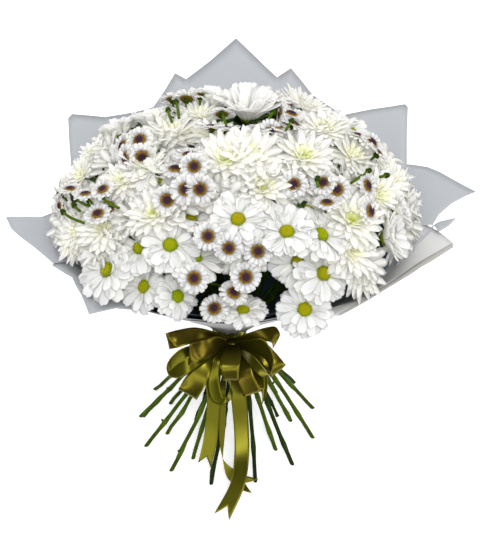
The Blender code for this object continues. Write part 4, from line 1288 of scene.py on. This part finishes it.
def add_slab(shape, top, below, rims, tints, places):
    """A thin form from a grid of points and one just below it, closed along these rims."""
    faces = grid_faces(*top.shape[:2])
    under = top.shape[0] * top.shape[1]
    edges = [np.stack((rim[1:], rim[:-1], rim[:-1] + under, rim[1:] + under), -1) for rim in rims]
    faces = np.concatenate((faces, faces[:, ::-1] + under, *edges))
    shape.add(np.stack((top, below)), faces, tints, np.stack((places, places)))


def add_sheet(shape, outline, layer, tint):
    """A sheet of the wrap between the tie and this outline, as a closed thin form."""
    (first, low), (second, high) = WRAP_PROFILE[:2]
    inner = first + layer * WRAP_PITCH * (second - first) / (high - low)
    shares = np.linspace(0, 1, SHEET_ROWS) ** 1.15
    top = []
    for reach, angle in outline:
        column = [in_plan(inner + (reach - inner) * share, angle) for share in shares]
        top.append([(x, y, wrap_height(x, y, layer)) for x, y in column])
    top = np.array(top)
    count, rows = top.shape[:2]
    round_bunch = np.repeat(np.arange(count)[:, None], rows, 1) * 0.01
    places = np.stack((round_bunch, np.repeat(shares[None], count, 0)), -1)
    index = np.arange(count * rows).reshape(count, rows)
    rims = [index[:, -1], index[:, 0][::-1]]
    if outline[0] != outline[-1]:
        rims += [index[0], index[-1][::-1]]
    # Painted shade: each sheet grows darker towards the tie
    shade = FOOT_PAINTED_SHADE + (1 - FOOT_PAINTED_SHADE) * smooth_step(shares / FOOT_SHARE)
    tints = np.array(tint) * np.tile(shade, 2 * count)[:, None]
    add_slab(shape, top, top - (0, 0, WRAP_THICKNESS), rims, tints, places)


def between(first, second, columns):
    """A grid of points from one line of points across to the other, and how far across each column is."""
    place = np.linspace(0, 1, columns)[None, :, None]
    return first[:, None] * (1 - place) + second[:, None] * place, place


def add_fold(shape, stations, layer, tint):
    """A narrow fold that lies on a sheet, through stations that are a pixel on each edge."""
    edges = []
    for edge in zip(*stations):
        line = [on_wrap(pixel, layer) - sight_line(pixel) * FOLD_LIFT for pixel in edge]
        edges.append(through(line, 6 * len(stations)))
    top, place = between(*edges, 5)
    top[..., 2] += FOLD_LIFT * np.sin(place[..., 0] * math.pi)
    add_ribbon(shape, top, tint)


def build_wrap(materials):
    liner = Shape()
    add_sheet(liner, [(LINER_RADIUS, index % 120 * SHEET_TURN) for index in range(121)], 0, LINER_SLATE)
    liner.build("wrap_liner_sheet", [materials["liner"]], "liner_slate", ["wrap_liner"])
    for name, (layer, places) in WRAP_SHEETS.items():
        shape = Shape()
        # Some sheets get a lighter tint: painted light
        add_sheet(shape, sheet_outline(places, layer), layer, WRAP_GREY * SHEET_PAINTED_LIGHT.get(name, EVEN))
        for _, shade, stations in (fold for fold in WRAP_FOLDS if fold[0] == name):
            add_fold(shape, stations, layer, WRAP_GREY * shade)
        shape.build(name.replace("sheet", "paper"), [materials["wrap"]], "wrap_grey", [name])


def at_depth(pixel, y):
    """The point that this pixel shows on the upright plane at this y."""
    direction = sight_line(pixel)
    return VIEW_EYE + direction * ((y - VIEW_EYE.y) / direction.y)


def stems_radius(z):
    """How far out the stems reach at this height."""
    _, radius, below, above = STEM_RINGS[0]
    return math.hypot(radius, (z - TIE_Z) * (above if z > TIE_Z else below)) + STEM_RADIUS * 1.3


def on_stems(pixel, clearance, slope_from=math.inf):
    """The point that this pixel shows just outside the stems, or on the floor or the slope up from it."""
    direction = sight_line(pixel)
    distance = 0.9
    while True:
        point = VIEW_EYE + direction * distance
        least = clearance + TAIL_SLOPE * max(0.0, point.y - slope_from)
        around = math.hypot(point.x - TIE_X, point.y)
        if around < stems_radius(max(point.z, 0)) + clearance or point.z < least:
            return point
        distance += 0.0005


def with_ends(points):
    """The points with one more before and after them, straight on."""
    points = np.array([tuple(point) for point in points])
    return np.concatenate(([2 * points[0] - points[1]], points, [2 * points[-1] - points[-2]]))


def spline(a, b, c, d, t):
    """The smooth line from b to c, at t of the way, where a comes before them and d after."""
    return 0.5 * (2 * b + (c - a) * t + (2 * a - 5 * b + 4 * c - d) * t**2 + (3 * b - a - 3 * c + d) * t**3)


def through(stations, rows):
    """A smooth line of points through these stations, evenly spaced from one station to the next."""
    ends = with_ends(stations)
    place = np.linspace(0, len(stations) - 1, rows)
    index = np.minimum(place.astype(int), len(stations) - 2)
    return spline(ends[index], ends[index + 1], ends[index + 2], ends[index + 3], (place - index)[:, None])


def resample(points, count):
    """A smooth line of so many points, evenly apart, through the points given."""
    ends = with_ends(points)
    t = np.linspace(0, 1, 24, endpoint=False)[:, None]
    parts = [spline(*near, t) for near in zip(ends, ends[1:], ends[2:], ends[3:])]
    line = np.concatenate(parts + [ends[-2:-1]])
    along = lengths_along(line)
    wanted = np.linspace(0, along[-1], count)
    return np.stack([np.interp(wanted, along, line[:, axis]) for axis in range(3)], -1)


def add_ribbon(shape, top, tint=RIBBON_OLIVE):
    """A strip of ribbon from a grid of points, rows along it and columns across it, as a closed thin form."""
    rows, columns = top.shape[:2]
    normal = np.cross(np.gradient(top, axis=1), np.gradient(top, axis=0))
    normal /= np.linalg.norm(normal, axis=-1)[..., None] + 1e-12
    index = np.arange(rows * columns).reshape(rows, columns)
    rim = np.concatenate((index[0, :-1], index[:-1, -1], index[-1, :0:-1], index[::-1, 0]))
    length = lengths_along(top[:, columns // 2])
    across = np.linspace(0, 1, columns)[None]
    places = np.stack(np.broadcast_arrays(across, length[:, None] / RIBBON_WIDTH), -1)
    tint = np.asarray(tint, float)
    tints = tint if tint.ndim == 1 else np.concatenate((tint, tint))
    add_slab(shape, top, top - normal * RIBBON_THICKNESS, [rim], tints, places)


def add_strip(shape, stations, rng, tint=RIBBON_OLIVE):
    """A strip of ribbon through stations: a pixel on each edge, the depth of both, and how much it leans."""
    edges = []
    for pixel, way in ((0, 1), (2, -1)):
        depths = [station[4] + way * (station[5] if len(station) > 5 else 0.0) for station in stations]
        line = [at_depth(station[pixel : pixel + 2], depth) for station, depth in zip(stations, depths)]
        edges.append(through(line, 6 * len(stations)))
    top, place = between(*edges, RIBBON_COLUMNS)
    normal = np.cross(np.gradient(top, axis=1), np.gradient(top, axis=0))
    normal /= np.linalg.norm(normal, axis=-1)[..., None] + 1e-9
    from_knot = np.linalg.norm(top - np.array(KNOT), axis=-1)[..., None]
    pleats = STRIP_PLEATS * np.exp(-from_knot / PLEAT_REACH) * np.cos(place * 6 * math.pi + rng.uniform(0, 3))
    # Painted shade: the strips grow darker near the knot
    deep = 1 - (1 - KNOT_PAINTED_SHADE) * np.exp(-from_knot / KNOT_REACH)
    top = top + normal * (pleats + STRIP_CROWN * np.sin(place * math.pi))
    add_ribbon(shape, top, (tint * deep).reshape(-1, 3))


def add_bow_loop(shape, behind, stations, rng):
    """A loop of the bow: a strip out to its fold, and back behind it."""
    *fold, depth = stations[-1]
    beyond = [end + LOOP_FOLD * (end - start) for end, start in zip(fold, stations[-2])]
    back = [station[:4] + (min(station[4] + behind, KNOT.y + LOOP_BACK_MOST),) for station in stations[::-1]]
    across, down = abs(fold[0] - stations[0][0]), abs(fold[1] - stations[0][1])
    out = []
    for index, station in enumerate(stations):
        share = index / (len(stations) - 1)
        out.append(station + (LOOP_LEAN * (across / (across + down)) * math.sin(math.pi * share**2),))
    tint = blend(RIBBON_OLIVE, RIBBON_BROWN, rng.uniform(0, 1))
    add_strip(shape, out + [(*beyond, depth + behind / 2)] + back, rng, tint)


def build_band(satin):
    band = Shape()
    way = np.linspace(0, 2 * math.pi * 71 / 72, 73)[:, None]
    place = np.linspace(-0.5, 0.5, RIBBON_COLUMNS)[None]
    radius = BAND_RADIUS + BAND_WAVES[0] * np.cos(place * 2 * math.pi * 2.5) + BAND_WAVES[1] * np.sin(way * 7)
    height = np.broadcast_to(TIE_Z + place * BAND_HEIGHT, radius.shape)
    add_ribbon(band, np.stack((TIE_X + radius * np.cos(way), radius * np.sin(way), height), -1))
    band.build("ribbon_band_satin", satin, "ribbon_olive", ["ribbon_band"])


def build_bow(satin):
    bow = Shape()
    rng = seeded("bow")
    for behind, stations in BOW_LOOPS:
        add_bow_loop(bow, behind, stations, rng)
    for stations in BOW_STRIPS:
        add_strip(bow, stations, rng)
    knot = []
    for x in np.linspace(-KNOT_HALF_WIDTH, KNOT_HALF_WIDTH, len(KNOT_RADII)):
        forward = -KNOT_FORWARD - KNOT_BULGE * math.cos(x * KNOT_BULGE_TURN)
        knot.append(KNOT + Vector((x + KNOT_ASIDE, forward, -KNOT_LOWER)))
    # The knot itself is painted dark: painted shade
    add_tube(bow, knot, KNOT_RADII, 16, [RIBBON_OLIVE * KNOT_PAINTED_SHADE] * len(KNOT_RADII))
    bow.build("ribbon_bow_satin", satin, "ribbon_olive", ["ribbon_bow"])


def build_tail(name, edges, satin):
    third = name.endswith("third")
    clearance = THIRD_TAIL_CLEARANCE if third else TAIL_CLEARANCE
    start = KNOT + TAIL_START
    slope_from = math.inf
    if name.endswith("long"):
        slope_from = min(on_stems(edge[-1], clearance).y for edge in edges)
    lines = []
    for edge in edges:
        line = [start] + [on_stems(pixel, clearance, slope_from) for pixel in edge]
        lines.append(resample(line, TAIL_POINTS))
    top = np.empty((TAIL_ROWS, RIBBON_COLUMNS, 3))
    for column, share in enumerate(np.linspace(0, 1, RIBBON_COLUMNS)):
        line = lines[0] * (1 - share) + lines[1] * share
        end = 1 - TAIL_NOTCH * (1 - abs(2 * share - 1))
        wanted = np.linspace(0, end, TAIL_ROWS) * (len(line) - 1)
        for axis in range(3):
            top[:, column, axis] = np.interp(wanted, np.arange(len(line)), line[:, axis])
    tail = Shape()
    # Painted light towards the tail's end, over a tail painted darker as painted shade
    towards_end = (np.linspace(0, 1, TAIL_ROWS) - TAIL_END_FROM) / TAIL_END_FADE
    end_painted_light = 1 + (TAIL_END_PAINTED_LIGHT - 1) * smooth_step(towards_end)
    add_ribbon(tail, top, RIBBON_OLIVE * TAIL_PAINTED_SHADE * np.repeat(end_painted_light, RIBBON_COLUMNS)[:, None])
    piece = tail.build(name + "_satin", satin, "ribbon_olive", [] if third else [name])


def add_node(tree, kind, **values):
    """A new node of a shader, with these inputs set."""
    node = tree.nodes.new("ShaderNode" + kind)
    for socket, value in values.items():
        node.inputs[socket.replace("_", " ")].default_value = value
    return node


def make_material(name, sockets):
    """A material, and its shader with these sockets set."""
    made = bpy.data.materials.new(name)
    made.use_nodes = True
    shader = made.node_tree.nodes["Principled BSDF"]
    for socket, value in sockets.items():
        shader.inputs[socket].default_value = value
    return made, shader


def make_finish(name, finish):
    """A material whose colour is each point's tint, made darker and lighter by a noise that also bumps it."""
    sockets = {"Roughness": finish.roughness, "Specular IOR Level": finish.specular, **finish.more}
    made, shader = make_material(name, sockets)
    tree = made.node_tree
    link = tree.links.new
    mapping = add_node(tree, "Mapping", Scale=finish.stretch)
    link(add_node(tree, "TexCoord").outputs[finish.grid], mapping.inputs["Vector"])
    noise = add_node(tree, "TexNoise", Scale=finish.scale, Detail=finish.detail)
    link(mapping.outputs["Vector"], noise.inputs["Vector"])
    spread = add_node(tree, "MapRange", To_Min=finish.low, To_Max=finish.high)
    link(noise.outputs["Fac"], spread.inputs["Value"])
    tint = add_node(tree, "Attribute")
    tint.attribute_name = "tint"
    mixed = add_node(tree, "VectorMath")
    mixed.operation = "SCALE"
    link(tint.outputs["Color"], mixed.inputs[0])
    link(spread.outputs["Result"], mixed.inputs["Scale"])
    link(mixed.outputs["Vector"], shader.inputs["Base Color"])
    bump = add_node(tree, "Bump", Strength=finish.bump, Distance=finish.depth)
    link(noise.outputs["Fac"], bump.inputs["Height"])
    link(bump.outputs["Normal"], shader.inputs["Normal"])
    return made


def build_world():
    """The sky: a plain ramp for all but gloss, which sees soft bands of light."""
    world = bpy.data.worlds.new("studio")
    world.use_nodes = True
    tree = world.node_tree
    link = tree.links.new
    generated = add_node(tree, "TexCoord").outputs["Generated"]
    split = add_node(tree, "SeparateXYZ")
    link(generated, split.inputs[0])
    boxes = add_node(tree, "TexWave", Scale=GLOSS_BANDS, Phase_Offset=GLOSS_TURN)
    boxes.bands_direction = "DIAGONAL"
    link(generated, boxes.inputs["Vector"])
    choice = add_node(tree, "Mix")
    link(add_node(tree, "LightPath").outputs["Is Glossy Ray"], choice.inputs["Factor"])
    skies = (("A", SKY_RAMP, split.outputs["Z"]), ("B", GLOSS_RAMP, boxes.outputs["Fac"]))
    for side, values, source in skies:
        ramp = add_node(tree, "MapRange", **dict(zip(("From_Min", "From_Max", "To_Min", "To_Max"), values)))
        link(source, ramp.inputs["Value"])
        link(ramp.outputs["Result"], choice.inputs[side])
    background = tree.nodes["Background"]
    link(choice.outputs["Result"], background.inputs["Strength"])
    background.inputs["Color"].default_value = (1, 1, 1, 1)
    bpy.context.scene.world = world


def build_stage():
    scene = bpy.context.scene
    scene.view_settings.view_transform = "Standard"
    camera = bpy.data.cameras.new("camera")
    camera.sensor_fit = "VERTICAL"
    camera.sensor_height = SENSOR_MM
    camera.lens = VIEW_FOCAL_PX * SENSOR_MM / VIEW_HEIGHT_PX
    holder = bpy.data.objects.new("camera", camera)
    holder.location = VIEW_EYE + CENTRE_SHIFT
    holder.rotation_euler = (math.pi / 2 - VIEW_TILT, 0, 0)
    scene.collection.objects.link(holder)
    scene.camera = holder

    build_world()
    sun = bpy.data.lights.new("key", "SUN")
    sun.energy = SUN_STRENGTH
    sun.angle = SUN_ANGLE
    lamp = bpy.data.objects.new("key", sun)
    lamp.rotation_euler = (-SUN_FROM).to_track_quat("-Z", "Y").to_euler()
    scene.collection.objects.link(lamp)

    mesh = bpy.data.meshes.new("floor")
    corners = [(x * FLOOR_REACH, y * FLOOR_REACH, 0) for x, y in ((-1, -1), (1, -1), (1, 1), (-1, 1))]
    mesh.from_pydata(corners, [], [(0, 1, 2, 3)])
    sockets = {"Base Color": (0.95, 0.95, 0.95, 1), "Roughness": 0.9, "Emission Color": (1, 1, 1, 1)}
    mesh.materials.append(make_material("floor", {**sockets, "Emission Strength": FLOOR_GLOW})[0])
    floor = bpy.data.objects.new("floor", mesh)
    scene.collection.objects.link(floor)
    floor.visible_diffuse = False
    floor.visible_glossy = False


def main():
    build_stage()
    materials = {name: make_finish(name, finish) for name, finish in FINISHES.items()}
    build_sprays(materials)
    build_wrap(materials)
    satin = [materials["satin"]]
    build_band(satin)
    build_bow(satin)
    for name, edges in RIBBON_TAILS.items():
        build_tail(name, edges, satin)


main()
